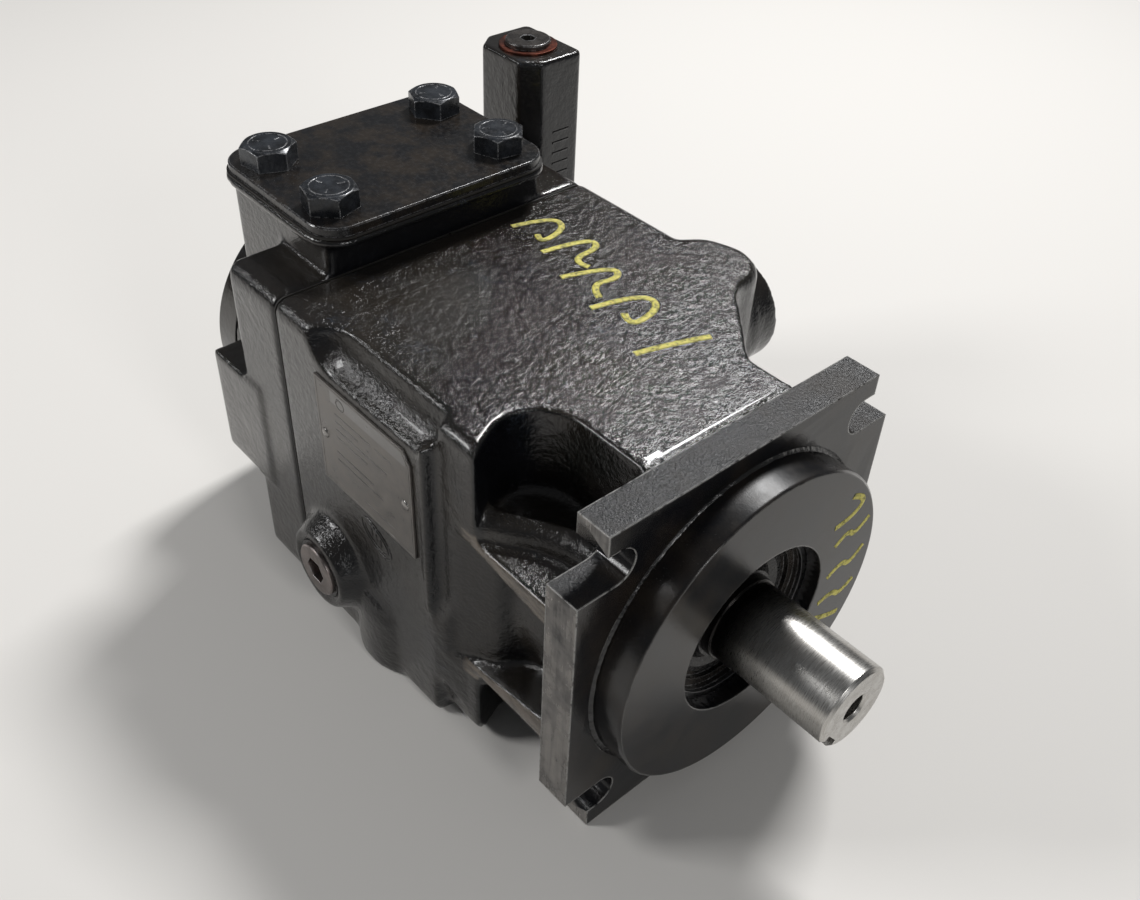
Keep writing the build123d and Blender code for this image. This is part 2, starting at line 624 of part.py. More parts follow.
def port_cover_bolts():
    """The four hexagon bolts of the shipping plate, each turned a little differently."""
    turns = (8, 38, -14, 21)
    length = PLATE_THICK + COVER_GASKET_THICK + 16
    places = port_bolt_places(PORT_X, SUCTION_SPACING)
    bolts = [Pos(x, y, PLATE_TOP) * Rot(0, 0, turn) * hex_bolt(length) for (x, y), turn in zip(places, turns)]
    return Compound(children=bolts)


# ---- plugs, plate and rivets ----
def socket_plug(head_r, head, thread_r, thread, socket):
    """A socket plug along +Z: its collar stands on z = 0 and its thread hangs below."""
    plug = rod_z((0, head), head_r) + rod_z((-thread, 0), thread_r)
    plug = chamfer(plug.edges().sort_by(Axis.Z)[-1], 0.5)
    return plug - Pos(0, 0, head - PLUG_SOCKET_DEEP) * hexagon_prism(socket, PLUG_SOCKET_DEEP + 1)


def near_side(z_up_piece):
    """Turn a piece built up along +Z to face out of the nameplate side."""
    return Rot(90, 0, 0) * z_up_piece


def drain_plug():
    """The socket plug in the near-side boss."""
    face = BODY_HALF + PLUG_BOSS_PROUD - PLUG_SPOT_DEEP + WASHER_THICK
    plug = socket_plug(PLUG_R, PLUG_HEAD, PLUG_THREAD_R - 0.05, 13, PLUG_SOCKET)
    return Pos(PLUG_X, -face, PLUG_Z) * near_side(plug)


def drain_plug_washer():
    """The sealing ring under the near-side plug."""
    face = BODY_HALF + PLUG_BOSS_PROUD - PLUG_SPOT_DEEP
    y = (-face - WASHER_THICK, -face)
    return rod_y(y, PLUG_R + 1.4, PLUG_X, PLUG_Z) - rod_y((y[0] - 1, y[1] + 1), PLUG_THREAD_R, PLUG_X, PLUG_Z)


PLATE_X = (-138.0, -80.5)
PLATE_Z = (8.5, 56.0)
NAMEPLATE_THICK = 0.8
RIVETS = ((-134.0, 31.5), (-84.5, 31.5))
RIVET_R = 1.3


def nameplate():
    """The thin plate on the near side, with its outer upper corner cut off."""
    outline = Polygon(
        (PLATE_X[0], PLATE_Z[0]), (PLATE_X[1], PLATE_Z[0]), (PLATE_X[1], PLATE_Z[1] - 5),
        (PLATE_X[1] - 4, PLATE_Z[1]), (PLATE_X[0], PLATE_Z[1]), align=None,
    )
    sheet = extrude(Plane((0, -BODY_HALF, 0), x_dir=(1, 0, 0), z_dir=(0, -1, 0)) * outline, NAMEPLATE_THICK)
    for x, z in RIVETS:
        sheet -= rod_y((-BODY_HALF - 2, -BODY_HALF + 1), RIVET_R, x, z)
    return sheet


def nameplate_rivets():
    """The two drive rivets of the nameplate."""
    rivets = []
    for x, z in RIVETS:
        head = Pos(x, -BODY_HALF - NAMEPLATE_THICK, z) * near_side(
            Cylinder(2.4, 0.9, align=(Align.CENTER, Align.CENTER, Align.MIN))
        )
        rivets.append(head + rod_y((-BODY_HALF - NAMEPLATE_THICK, -BODY_HALF), RIVET_R - 0.02, x, z))
    return Compound(children=rivets)


# ---- shaft, seal and bearings ----
def drive_shaft():
    """The keyed drive shaft with its journals, spline and rear stub."""
    x_seal, x_stub = -9.0, BLOCK_REAR_X - 22
    shaft = turned([
        (SHAFT_END, 0), (SHAFT_END, SHAFT_R - SHAFT_CHAMFER), (SHAFT_END - SHAFT_CHAMFER, SHAFT_R),
        (7, SHAFT_R), (7, SEAL_JOURNAL_R), (BEARING_X[1] + 1, SEAL_JOURNAL_R),
        (BEARING_X[1] + 1, BEARING_JOURNAL_R), (BEARING_X[0], BEARING_JOURNAL_R),
        (BEARING_X[0], SHOULDER_R), (BEARING_X[0] - 6, SHOULDER_R), (BEARING_X[0] - 6, MID_SHAFT_R),
        (BARREL_REAR_X + 2, MID_SHAFT_R), (BARREL_REAR_X, REAR_JOURNAL_R),
        (NEEDLE_X[0] - 4, REAR_JOURNAL_R), (NEEDLE_X[0] - 4, STUB_R), (x_stub + 1, STUB_R),
        (x_stub, STUB_R - 1), (x_stub, 0),
    ])
    key_floor = SHAFT_R - KEYWAY_DEEP
    keyway = bar((SHAFT_END - KEYWAY_LENGTH, SHAFT_END + 1), (-KEYWAY_WIDE / 2, KEYWAY_WIDE / 2), (-30, -key_floor))
    keyway += rod_z((-30, -key_floor), KEYWAY_WIDE / 2, SHAFT_END - KEYWAY_LENGTH)
    shaft -= Rot(KEYWAY_ANGLE, 0, 0) * keyway
    hole = turned([
        (SHAFT_END + 1, 0), (SHAFT_END + 1, CENTRE_HOLE_R + 2.0), (SHAFT_END - 1.0, CENTRE_HOLE_R),
        (SHAFT_END - CENTRE_HOLE_DEEP, CENTRE_HOLE_R), (SHAFT_END - CENTRE_HOLE_DEEP - 3, 0),
    ])
    shaft -= hole
    return shaft - spline_grooves(MID_SHAFT_R, (BARREL_FRONT_X - 16, BARREL_FRONT_X - 1))


KEYWAY_ANGLE = -52.0


def spline_grooves(r, x):
    """The grooves between the teeth of a straight spline."""
    half = radians(360 / SPLINE_TEETH / 4)
    low = r - SPLINE_DEEP
    wedge = Polygon(
        (low * cos(half), -low * sin(half)), ((r + 1) * cos(half), -(r + 1) * sin(half)),
        ((r + 1) * cos(half), (r + 1) * sin(half)), (low * cos(half), low * sin(half)), align=None,
    )
    groove = across(x[0], wedge, x[1] - x[0])
    cut = groove
    for i in range(1, SPLINE_TEETH):
        cut += Rot(360 * i / SPLINE_TEETH, 0, 0) * groove
    return cut


def front_bearing():
    """The outer race, inner race and rollers of the front bearing."""
    outer = turned([(BEARING_X[0], OUTER_RACE_R), (BEARING_X[0], BORE_R), (BEARING_X[1], BORE_R),
                    (BEARING_X[1], OUTER_RACE_R)])
    inner = turned([(BEARING_X[0], BEARING_JOURNAL_R), (BEARING_X[0], INNER_RACE_R),
                    (BEARING_X[1], INNER_RACE_R), (BEARING_X[1], BEARING_JOURNAL_R)])
    roller_x = (BEARING_X[0] + 2, BEARING_X[1] - 2)
    rollers = [rod_x(roller_x, ROLLER_R, y, z) for y, z in on_circle(ROLLER_COUNT, ROLLER_PITCH_R)]
    return outer, inner, Compound(children=rollers)


def rear_bearing():
    """The drawn cup and the needles of the rear bearing."""
    cup = turned([(NEEDLE_X[0], CUP_INNER_R), (NEEDLE_X[0], CUP_OUTER_R), (NEEDLE_X[1], CUP_OUTER_R),
                  (NEEDLE_X[1], CUP_INNER_R)])
    needle_x = (NEEDLE_X[0] + 1, NEEDLE_X[1] - 1)
    needles = [rod_x(needle_x, NEEDLE_R, y, z) for y, z in on_circle(NEEDLE_COUNT, NEEDLE_PITCH_R)]
    return cup, Compound(children=needles)


def seal_carrier():
    """The stepped carrier that holds the lip seal in the pilot bore."""
    return turned([
        (BEARING_X[1], 28), (BEARING_X[1], BORE_R), (SNAP_RING_X[0], BORE_R), (SNAP_RING_X[0], 31.5),
        (2.5, 31.5), (2.5, 28.5), (0.5, 28.5), (0.5, 26), (-7, 26), (-7, 24), (-8, 24), (-8, 28),
    ])


def shaft_seal():
    """The rubber lip seal on the shaft."""
    lip_r = SEAL_JOURNAL_R + 0.02
    return turned([
        (-6.5, 25.95), (1.5, 25.95), (1.5, 24), (0.2, 21), (1.6, 19), (3.4, lip_r + 1.2), (3.4, lip_r),
        (1.8, lip_r), (-1.5, lip_r + 2), (-4, lip_r), (-6, lip_r), (-6.5, lip_r + 1),
    ])


def snap_ring():
    """The internal snap ring in front of the seal carrier, open at its gap."""
    x = (SNAP_RING_X[0] + 0.1, SNAP_RING_X[1] - 0.2)
    ring = rod_x(x, BORE_R + 1.5) - rod_x((x[0] - 1, x[1] + 1), BORE_R - 2.5)
    gap = Polygon((0, 0), (-50, 6), (-50, 20), align=None)
    ring -= across(x[0] - 1, gap, 4)
    return ring


# ---- rotating group ----
def cylinder_barrel():
    """The nine-bore cylinder barrel with its kidney slots and splined bore."""
    barrel = rod_x((BARREL_REAR_X, BARREL_FRONT_X), BARREL_R)
    barrel = chamfer(barrel.edges().filter_by(GeomType.CIRCLE), 1.5)
    half_kidney = degrees(BARREL_BORE_R * 0.55 / PITCH_R)
    for i, (y, z) in enumerate(on_circle(PISTON_COUNT, PITCH_R)):
        angle = 360 * i / PISTON_COUNT
        barrel -= rod_x((BORE_END_X, BARREL_FRONT_X + 1), BARREL_BORE_R, y, z)
        radii = (PITCH_R - KIDNEY_HALF_WIDE, PITCH_R + KIDNEY_HALF_WIDE)
        barrel -= sector((BARREL_REAR_X - 1, BORE_END_X + 1), radii, (angle - half_kidney, angle + half_kidney))
    barrel -= rod_x((BARREL_REAR_X - 1, BARREL_FRONT_X + 1), MID_SHAFT_R + RUNNING)
    barrel -= rod_x((BARREL_REAR_X + 8, BARREL_FRONT_X - 20), GUIDE_R)
    tooth_gap = spline_grooves(MID_SHAFT_R - RUNNING, (BARREL_FRONT_X - 16, BARREL_FRONT_X - 1))
    teeth = tooth_gap & rod_x((BARREL_FRONT_X - 16, BARREL_FRONT_X - 1), MID_SHAFT_R + 0.5)
    return barrel + shrink_teeth(teeth)


def shrink_teeth(teeth):
    """The barrel's spline teeth, a running clearance above the floor of the shaft's grooves."""
    return teeth - rod_x((BARREL_FRONT_X - 17, BARREL_FRONT_X), MID_SHAFT_R - SPLINE_DEEP + 0.25)


def barrel_springs():
    """The stack of coned springs that presses the barrel on the valve plate."""
    washers = []
    x0 = BARREL_REAR_X + 9
    for i in range(6):
        near, far = (0.0, 2.2) if i % 2 else (2.2, 0.0)
        x = x0 + 4.3 * i
        washers.append(turned([
            (x + near, MID_SHAFT_R + 0.6), (x + far, GUIDE_R - 0.6), (x + far + 1.6, GUIDE_R - 0.6),
            (x + near + 1.6, MID_SHAFT_R + 0.6),
        ]))
    return Compound(children=washers)


def retainer_guide():
    """The ball guide between the barrel and the slipper retainer."""
    half = 8.0
    zone = ball(GUIDE_R) & rod_x((PIVOT_X - half, PIVOT_X + half), GUIDE_R + 1)
    guide = zone + rod_x((BARREL_FRONT_X, PIVOT_X - half + 1), 19.0)
    return guide - rod_x((BARREL_FRONT_X - 1, PIVOT_X + GUIDE_R), MID_SHAFT_R + RUNNING)


def slipper(y, z):
    """A slipper: a flat foot on the swashplate and a socket about the piston's ball."""
    foot_x = (RUNNING_FACE_X - RUNNING, RUNNING_FACE_X - RUNNING - SLIPPER_FOOT)
    body = rod_x(foot_x, SLIPPER_R, y, z)
    body += rod_x((foot_x[1], PIVOT_X - SLIPPER_SOCKET_END), SLIPPER_NECK_R, y, z)
    return body - ball(BALL_R + RUNNING, PIVOT_X, y, z)


def piston(y, z):
    """A hollow piston with its ball."""
    tail = (PIVOT_X - PISTON_TAIL, PIVOT_X - 17)
    body = rod_x(tail, PISTON_R, y, z)
    body += rod_x((tail[1], PIVOT_X), BALL_NECK_R, y, z)
    body += ball(BALL_R, PIVOT_X, y, z)
    return body - rod_x((tail[0] - 1, tail[1] - 5), PISTON_R - 3.2, y, z)


def slipper_retainer():
    """The plate that holds the slippers on the swashplate and bears on the ball guide."""
    x = (RUNNING_FACE_X - SLIPPER_FOOT - 4.5, RUNNING_FACE_X - SLIPPER_FOOT - 0.3)
    plate = rod_x(x, SWASH_R - 2) - ball(GUIDE_R + 0.15)
    for y, z in on_circle(PISTON_COUNT, BALL_CIRCLE_R):
        plate -= rod_x((x[0] - 1, x[1] + 1), SLIPPER_NECK_R + 0.4, y, z)
    return plate


def swashplate():
    """The tilting plate: running face, rockers for the cradle and an arm at each side."""
    plate = rod_x((RUNNING_FACE_X, SWASH_FRONT_X), SWASH_R)
    for level in (-1, 1):
        z = (level * ROCKER_Z[0], level * ROCKER_Z[1])
        rocker = rod_z(z, ROCKER_R, PIVOT_X)
        plate += rocker & bar((SWASH_FRONT_X - 1, 0), (-ROCKER_HALF_Y, ROCKER_HALF_Y), z)
    for side in (-1, 1):
        plate += bar((PIVOT_X, PIVOT_X + ARM_THICK), (side * 49, side * ARM_REACH), (-ARM_HALF_Z, ARM_HALF_Z))
        arm_root = (RUNNING_FACE_X + 1, SWASH_FRONT_X - 2)
        plate += bar(arm_root, (side * 30, side * (ARM_REACH - 4)), (-ARM_HALF_Z, ARM_HALF_Z))
    room = turned([
        (RUNNING_FACE_X - 1, 0), (RUNNING_FACE_X - 1, 20), (RUNNING_FACE_X + 3, 20),
        (SWASH_FRONT_X + 1, 24), (SWASH_FRONT_X + 1, 0),
    ])
    return plate - room


def cradle_bearings():
    """The two curved shells that the rockers slide in."""
    shells = []
    reach = 60.0
    half = radians(CRADLE_HALF_ANGLE)
    wedge = Polygon(
        (0, 0), (reach * cos(half), -reach * sin(half)), (2 * reach, 0),
        (reach * cos(half), reach * sin(half)), align=None,
    )
    for level in (-1, 1):
        z = (level * ROCKER_Z[0], level * ROCKER_Z[1])
        ring = rod_z(z, CRADLE_OUTER_R, PIVOT_X) - rod_z((-60, 60), ROCKER_R + RUNNING, PIVOT_X)
        shells.append(ring & upward(-60, Pos(PIVOT_X, 0) * wedge, 120))
    return Compound(children=shells)


def valve_plate():
    """The kidney plate between the barrel and the port block."""
    x = (BLOCK_X, BLOCK_X + VALVE_PLATE_THICK)
    plate = rod_x(x, VALVE_PLATE_R) - rod_x((x[0] - 1, x[1] + 1), MID_SHAFT_R + 3)
    radii = (PITCH_R - KIDNEY_HALF_WIDE, PITCH_R + KIDNEY_HALF_WIDE)
    deep = (x[0] - 1, x[1] + 1)
    plate -= sector(deep, radii, PORT_ANGLES)
    for start in (205, 252, 299):
        plate -= sector(deep, radii, (start, start + 34))
    return plate


def servo_sleeves():
    """The two sleeves on the port block that guide the control and bias pistons."""
    sleeves = []
    for side in (-1, 1):
        sleeve = rod_x((BLOCK_X, SLEEVE_FRONT_X), SLEEVE_R, side * SERVO_Y)
        sleeves.append(sleeve - rod_x((BLOCK_X + 3, SLEEVE_FRONT_X + 1), SERVO_R + RUNNING, side * SERVO_Y))
    return Compound(children=sleeves)


def control_piston():
    """The piston that turns the swashplate back towards zero."""
    return servo_piston(SERVO_Y, SERVO_TAIL_X[0], SERVO_R)


def bias_piston():
    """The spring-loaded piston that turns the swashplate towards full displacement."""
    rod = servo_piston(-SERVO_Y, SERVO_TAIL_X[1], SPRING_MEAN_R - SPRING_WIRE_R - 0.9)
    rod += rod_x((SERVO_TAIL_X[1], SLEEVE_FRONT_X - 1), SERVO_R, -SERVO_Y)
    return rod + rod_x((TIP_X - 4, TIP_X - 1), SLEEVE_R, -SERVO_Y)


def servo_piston(y, tail_x, rod_r):
    """A rod along X with a round tip against an arm of the swashplate."""
    body = rod_x((tail_x, TIP_X), rod_r, y) + ball(SERVO_TIP_R, TIP_X, y)
    return body


def coil(length, mean_r, wire_r, turns):
    """A closed-ended compression spring standing on the XY plane."""
    pitch = (length - 2 * wire_r) / turns
    path = Helix(pitch, length - 2 * wire_r, mean_r)
    section = Plane(path @ 0, z_dir=path % 0) * Circle(wire_r)
    return Pos(0, 0, wire_r) * sweep(section, path)


def bias_spring():
    """The coil spring between the sleeve and the collar of the bias piston."""
    start, end = SLEEVE_FRONT_X + 0.3, TIP_X - 4 - 0.3
    spring = coil(end - start, SPRING_MEAN_R, SPRING_WIRE_R, SPRING_TURNS)
    return Pos(start, -SERVO_Y, 0) * Rot(0, 90, 0) * spring


# ---- compensator ----
def compensator_screw_places():
    """X and Z of the four screws that hold the compensator."""
    return [(x, z) for x in (COMP_X[0] + 7, COMP_X[1] - 7) for z in (COMP_PAD_Z[0] + 14, COMP_PAD_Z[1] - 8)]


def compensator_body():
    """The upright valve block on the far side, with its spool bore and spring chamber."""
    outline = Polygon(
        (COMP_X[0], COMP_Y[0] + COMP_CHAMFER), (COMP_X[0] + COMP_CHAMFER * 0.8, COMP_Y[0]),
        (COMP_X[1] - COMP_CHAMFER * 0.8, COMP_Y[0]), (COMP_X[1], COMP_Y[0] + COMP_CHAMFER),
        (COMP_X[1], COMP_Y[1] - 2), (COMP_X[1] - 2, COMP_Y[1]), (COMP_X[0] + 2, COMP_Y[1]),
        (COMP_X[0], COMP_Y[1] - 2), align=None,
    )
    block = upward(COMP_Z[0], outline, COMP_Z[1] - COMP_Z[0])
    block += bar((COMP_X[0] + 1, COMP_X[1] - 1), (COMP_Y[0], COMP_Y[0] + 12), (COMP_PAD_Z[0] + 6, COMP_PAD_Z[1]))
    block = chamfer(block.faces().sort_by(Axis.Z)[-1].edges(), 0.8)
    x, y = COMP_CENTRE
    block -= rod_z((COMP_Z[0] + 8, SPOOL_Z[1] + 4), SPOOL_R + RUNNING, x, y)
    block -= rod_z((SPOOL_Z[1] + 4, COMP_Z[1] + 1), SPRING_CHAMBER_R, x, y)
    for sx, sz in compensator_screw_places():
        block -= rod_y((COMP_Y[0] - 1, COMP_Y[1] + 1), 3.3, sx, sz)
        block -= rod_y((COMP_Y[1] - 7, COMP_Y[1] + 1), 5.4, sx, sz)
    return block


def compensator_screws():
    """The four socket screws through the compensator into the port block."""
    seat = COMP_Y[1] - 7
    length = seat - COMP_Y[0] + 12
    screw = Rot(0, 0, -90) * socket_screw(2.95, 5.0, 6.0, length)
    return Compound(children=[Pos(x, seat, z) * screw for x, z in compensator_screw_places()])


def compensator_spool():
    """The two-land spool with a stem for the spring seat."""
    x, y = COMP_CENTRE
    spool = rod_z(SPOOL_Z, SPOOL_R, x, y)
    waist = rod_z((SPOOL_Z[0] + 16, SPOOL_Z[1] - 16), SPOOL_R + 1, x, y)
    spool -= waist - rod_z((SPOOL_Z[0], SPOOL_Z[1]), SPOOL_R - 2, x, y)
    spool += rod_z((SPOOL_Z[1], SPOOL_Z[1] + 8), 3.0, x, y)
    return spool + rod_z((SPOOL_Z[1] + 6, SPOOL_Z[1] + 8), SPRING_CHAMBER_R - 0.6, x, y)


def compensator_spring():
    """The spring that sets the pressure."""
    x, y = COMP_CENTRE
    bottom = SPOOL_Z[1] + 8.2
    return Pos(x, y, bottom) * coil(SPRING_TOP - bottom, 6.2, 1.1, 4)


def adjusting_screw():
    """The screw that loads the spring, under the sealing plug."""
    x, y = COMP_CENTRE
    screw = rod_z((SPRING_TOP + 0.2, SPRING_TOP + 10), SPRING_CHAMBER_R - 0.05, x, y)
    return screw - Pos(x, y, SPRING_TOP + 5) * hexagon_prism(5, 6)


def compensator_plug():
    """The socket plug on top of the compensator."""
    x, y = COMP_CENTRE
    plug = socket_plug(COMP_PLUG_R, COMP_PLUG_HEAD, SPRING_CHAMBER_R - 0.05, 12, 6.0)
    return Pos(x, y, COMP_Z[1] + WASHER_THICK) * plug


def compensator_washer():
    """The copper ring under the compensator plug."""
    z = (COMP_Z[1], COMP_Z[1] + WASHER_THICK)
    return rod_z(z, COMP_WASHER_R, *COMP_CENTRE) - rod_z((z[0] - 1, z[1] + 1), SPRING_CHAMBER_R, *COMP_CENTRE)


def main():
    """Build every piece and write it to its file."""
    os.makedirs("parts", exist_ok=True)
    outer_race, inner_race, rollers = front_bearing()
    cup, needles = rear_bearing()
    pieces = {
        "main_housing": main_housing(),
        "housing_gasket": housing_gasket(),
        "port_block": port_block(),
        "port_block_screws": port_block_screws(),
        "rear_cover": rear_cover(),
        "rear_cover_screws": rear_cover_screws(),
        "port_cover_gasket": port_cover_gasket(),
        "port_cover_plate": port_cover_plate(),
        "port_cover_bolts": port_cover_bolts(),
        "drain_plug": drain_plug(),
        "drain_plug_washer": drain_plug_washer(),
        "nameplate": nameplate(),
        "nameplate_rivets": nameplate_rivets(),
        "drive_shaft": drive_shaft(),
        "front_bearing_outer_race": outer_race,
        "front_bearing_inner_race": inner_race,
        "front_bearing_rollers": rollers,
        "rear_bearing_cup": cup,
        "rear_bearing_needles": needles,
        "seal_carrier": seal_carrier(),
        "shaft_seal": shaft_seal(),
        "snap_ring": snap_ring(),
        "cylinder_barrel": cylinder_barrel(),
        "barrel_springs": barrel_springs(),
        "retainer_guide": retainer_guide(),
        "slipper_retainer": slipper_retainer(),
        "swashplate": swashplate(),
        "cradle_bearings": cradle_bearings(),
        "valve_plate": valve_plate(),
        "servo_sleeves": servo_sleeves(),
        "control_piston": control_piston(),
        "bias_piston": bias_piston(),
        "bias_spring": bias_spring(),
        "compensator_body": compensator_body(),
        "compensator_screws": compensator_screws(),
        "compensator_spool": compensator_spool(),
        "compensator_spring": compensator_spring(),
        "adjusting_screw": adjusting_screw(),
        "compensator_plug": compensator_plug(),
        "compensator_washer": compensator_washer(),
    }
    for i, (y, z) in enumerate(on_circle(PISTON_COUNT, BALL_CIRCLE_R), 1):
        pieces[f"slipper_{i}"] = slipper(y, z)
        pieces[f"piston_{i}"] = piston(y, z)
    for name, shape in pieces.items():
        save(shape, name)


main()
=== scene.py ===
"""Look of the axial piston pump: its finishes, its cast and worn detail, and the studio round it."""
import logging
import math
from dataclasses import dataclass
from enum import Enum
from typing import Optional

import bmesh
import bpy
from mathutils import Euler, Matrix, Vector


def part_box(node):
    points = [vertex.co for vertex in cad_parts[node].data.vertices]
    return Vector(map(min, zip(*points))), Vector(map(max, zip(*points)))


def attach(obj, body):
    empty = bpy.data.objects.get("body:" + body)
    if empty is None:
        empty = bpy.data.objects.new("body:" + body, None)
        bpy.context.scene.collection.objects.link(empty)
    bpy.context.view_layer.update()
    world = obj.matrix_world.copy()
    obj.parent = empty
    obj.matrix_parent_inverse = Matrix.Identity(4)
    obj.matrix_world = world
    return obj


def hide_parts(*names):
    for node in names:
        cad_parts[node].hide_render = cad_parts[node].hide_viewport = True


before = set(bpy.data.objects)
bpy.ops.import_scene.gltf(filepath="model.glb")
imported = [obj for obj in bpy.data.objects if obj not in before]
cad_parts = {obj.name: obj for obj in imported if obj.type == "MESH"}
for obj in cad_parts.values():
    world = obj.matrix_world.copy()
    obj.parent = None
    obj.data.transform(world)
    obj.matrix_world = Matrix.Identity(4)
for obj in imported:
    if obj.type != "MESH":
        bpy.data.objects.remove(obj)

log = logging.getLogger("pump")
MM = 0.001
NODES: dict[str, bpy.types.Object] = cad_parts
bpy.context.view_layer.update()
MERGE = 0.00002


class Sheet:
    """A material's node sheet, with short ways to add and join its nodes."""

    def __init__(self, name: str) -> None:
        """Start an empty sheet.

        Args:
            name: the material's name.
        """
        self.material = bpy.data.materials.new(name)
        self.material.use_nodes = True
        self.tree = self.material.node_tree
        self.tree.nodes.clear()
        self.out = self.tree.nodes.new("ShaderNodeOutputMaterial")
        self.shader = self.tree.nodes.new("ShaderNodeBsdfPrincipled")
        self.join(self.shader.outputs["BSDF"], self.out.inputs["Surface"])
        coords = self.tree.nodes.new("ShaderNodeTexCoord")
        self.place = coords.outputs["Object"]

    def join(self, source: bpy.types.NodeSocket, target: bpy.types.NodeSocket) -> None:
        """Join two sockets."""
        self.tree.links.new(source, target)

    def add(self, kind: str, **values: object) -> bpy.types.Node:
        """Add a node and set its properties.

        Args:
            kind: the node's type name, without "ShaderNode".
            values: the properties to set on it.

        Returns:
            The new node.
        """
        node = self.tree.nodes.new("ShaderNode" + kind)
        for key, value in values.items():
            setattr(node, key, value)
        return node

    def feed(self, socket: bpy.types.NodeSocket, value: object) -> None:
        """Join a socket to another, or set its value."""
        if isinstance(value, bpy.types.NodeSocket):
            self.join(value, socket)
        else:
            socket.default_value = value

    def noise(self, scale: float, detail: float = 3.0, rough: float = 0.55,
              stretch: tuple[float, float, float] = (1.0, 1.0, 1.0),
              shift: float = 0.0) -> bpy.types.NodeSocket:
        """Soft noise in object space.

        Args:
            scale: patches in a metre.
            detail: octaves of finer noise.
            rough: how strong each finer octave is.
            stretch: factors that squeeze the pattern along X, Y and Z.
            shift: moves the pattern, so that two of them differ.

        Returns:
            The noise value's socket, about 0 to 1.
        """
        mapping = self.add("Mapping")
        mapping.inputs["Scale"].default_value = stretch
        mapping.inputs["Location"].default_value = (shift, shift * 0.7, shift * 1.3)
        self.join(self.place, mapping.inputs["Vector"])
        node = self.add("TexNoise")
        self.join(mapping.outputs["Vector"], node.inputs["Vector"])
        node.inputs["Scale"].default_value = scale
        node.inputs["Detail"].default_value = detail
        node.inputs["Roughness"].default_value = rough
        return node.outputs["Fac"]

    def ramp(self, value: object, low: float, high: float, to_low: float = 0.0,
             to_high: float = 1.0) -> bpy.types.NodeSocket:
        """Map a value from one range to another, clamped, with soft ends."""
        node = self.add("MapRange", interpolation_type="SMOOTHSTEP")
        for name, number in (("Value", value), ("From Min", low), ("From Max", high),
                             ("To Min", to_low), ("To Max", to_high)):
            self.feed(node.inputs[name], number)
        return node.outputs["Result"]

    def math(self, operation: str, one: object, other: object = 0.0) -> bpy.types.NodeSocket:
        """Combine two numbers with a named operation."""
        node = self.add("Math", operation=operation)
        self.feed(node.inputs[0], one)
        self.feed(node.inputs[1], other)
        return node.outputs[0]

    def mix(self, factor: object, one: object, other: object) -> bpy.types.NodeSocket:
        """Mix two colours by a factor."""
        node = self.add("Mix", data_type="RGBA")
        self.feed(node.inputs[0], factor)
        self.feed(node.inputs[6], one if isinstance(one, bpy.types.NodeSocket) else (*one, 1.0))
        self.feed(node.inputs[7], other if isinstance(other, bpy.types.NodeSocket) else (*other, 1.0))
        return node.outputs[2]

    def axis(self, name: str) -> bpy.types.NodeSocket:
        """One coordinate, X, Y or Z, in metres."""
        node = self.add("SeparateXYZ")
        self.join(self.place, node.inputs[0])
        return node.outputs[name]

    def convex_edge(self, width: float) -> bpy.types.NodeSocket:
        """How near a point is to an outer edge, from 0 to about 1."""
        bevel = self.add("Bevel", samples=6)
        bevel.inputs["Radius"].default_value = width
        geometry = self.add("NewGeometry")
        dot = self.add("VectorMath", operation="DOT_PRODUCT")
        self.join(bevel.outputs["Normal"], dot.inputs[0])
        self.join(geometry.outputs["Normal"], dot.inputs[1])
        edge = self.math("SUBTRACT", 1.0, dot.outputs["Value"])
        outward = self.ramp(geometry.outputs["Pointiness"], 0.49, 0.53)
        return self.math("MULTIPLY", self.ramp(edge, 0.01, 0.16), outward)

    def bump(self, height: object, strength: float, depth: float,
             normal: Optional[bpy.types.NodeSocket] = None) -> bpy.types.NodeSocket:
        """A bump from a height.

        Args:
            height: the height's socket.
            strength: how much of it shows.
            depth: the height of 1, in metres.
            normal: the normal to start from.

        Returns:
            The bumped normal.
        """
        node = self.add("Bump")
        node.inputs["Strength"].default_value = strength
        node.inputs["Distance"].default_value = depth
        self.feed(node.inputs["Height"], height)
        if normal is not None:
            self.join(normal, node.inputs["Normal"])
        return node.outputs["Normal"]

    def facing(self, name: str) -> bpy.types.NodeSocket:
        """How far the surface faces along X, Y or Z, from -1 to 1."""
        coords = self.add("TexCoord")
        node = self.add("SeparateXYZ")
        self.join(coords.outputs["Normal"], node.inputs[0])
        return node.outputs[name]

    def between(self, value: object, low: float, high: float, soft: float) -> bpy.types.NodeSocket:
        """A mask that is 1 where a value lies between two limits, with soft ends."""
        rising = self.ramp(value, low - soft, low + soft)
        falling = self.ramp(value, high - soft, high + soft, 1.0, 0.0)
        return self.math("MULTIPLY", rising, falling)

    def product(self, *values: object) -> bpy.types.NodeSocket:
        """Multiply several masks together."""
        total = values[0]
        for value in values[1:]:
            total = self.math("MULTIPLY", total, value)
        return total

    def rounded(self, radius: float) -> bpy.types.NodeSocket:
        """A normal that is rounded at the edges."""
        node = self.add("Bevel", samples=8)
        node.inputs["Radius"].default_value = radius
        return node.outputs["Normal"]

    def set(self, **values: object) -> None:
        """Set the shader's own sockets, by name with _ for a space."""
        for key, value in values.items():
            self.feed(self.shader.inputs[key.replace("_", " ")], value)


class Grain(Enum):
    """How coarse a cast or machined surface is: depth in metres."""

    CAST = 0.00036
    BLOCK = 0.00028
    FACED = 0.00008


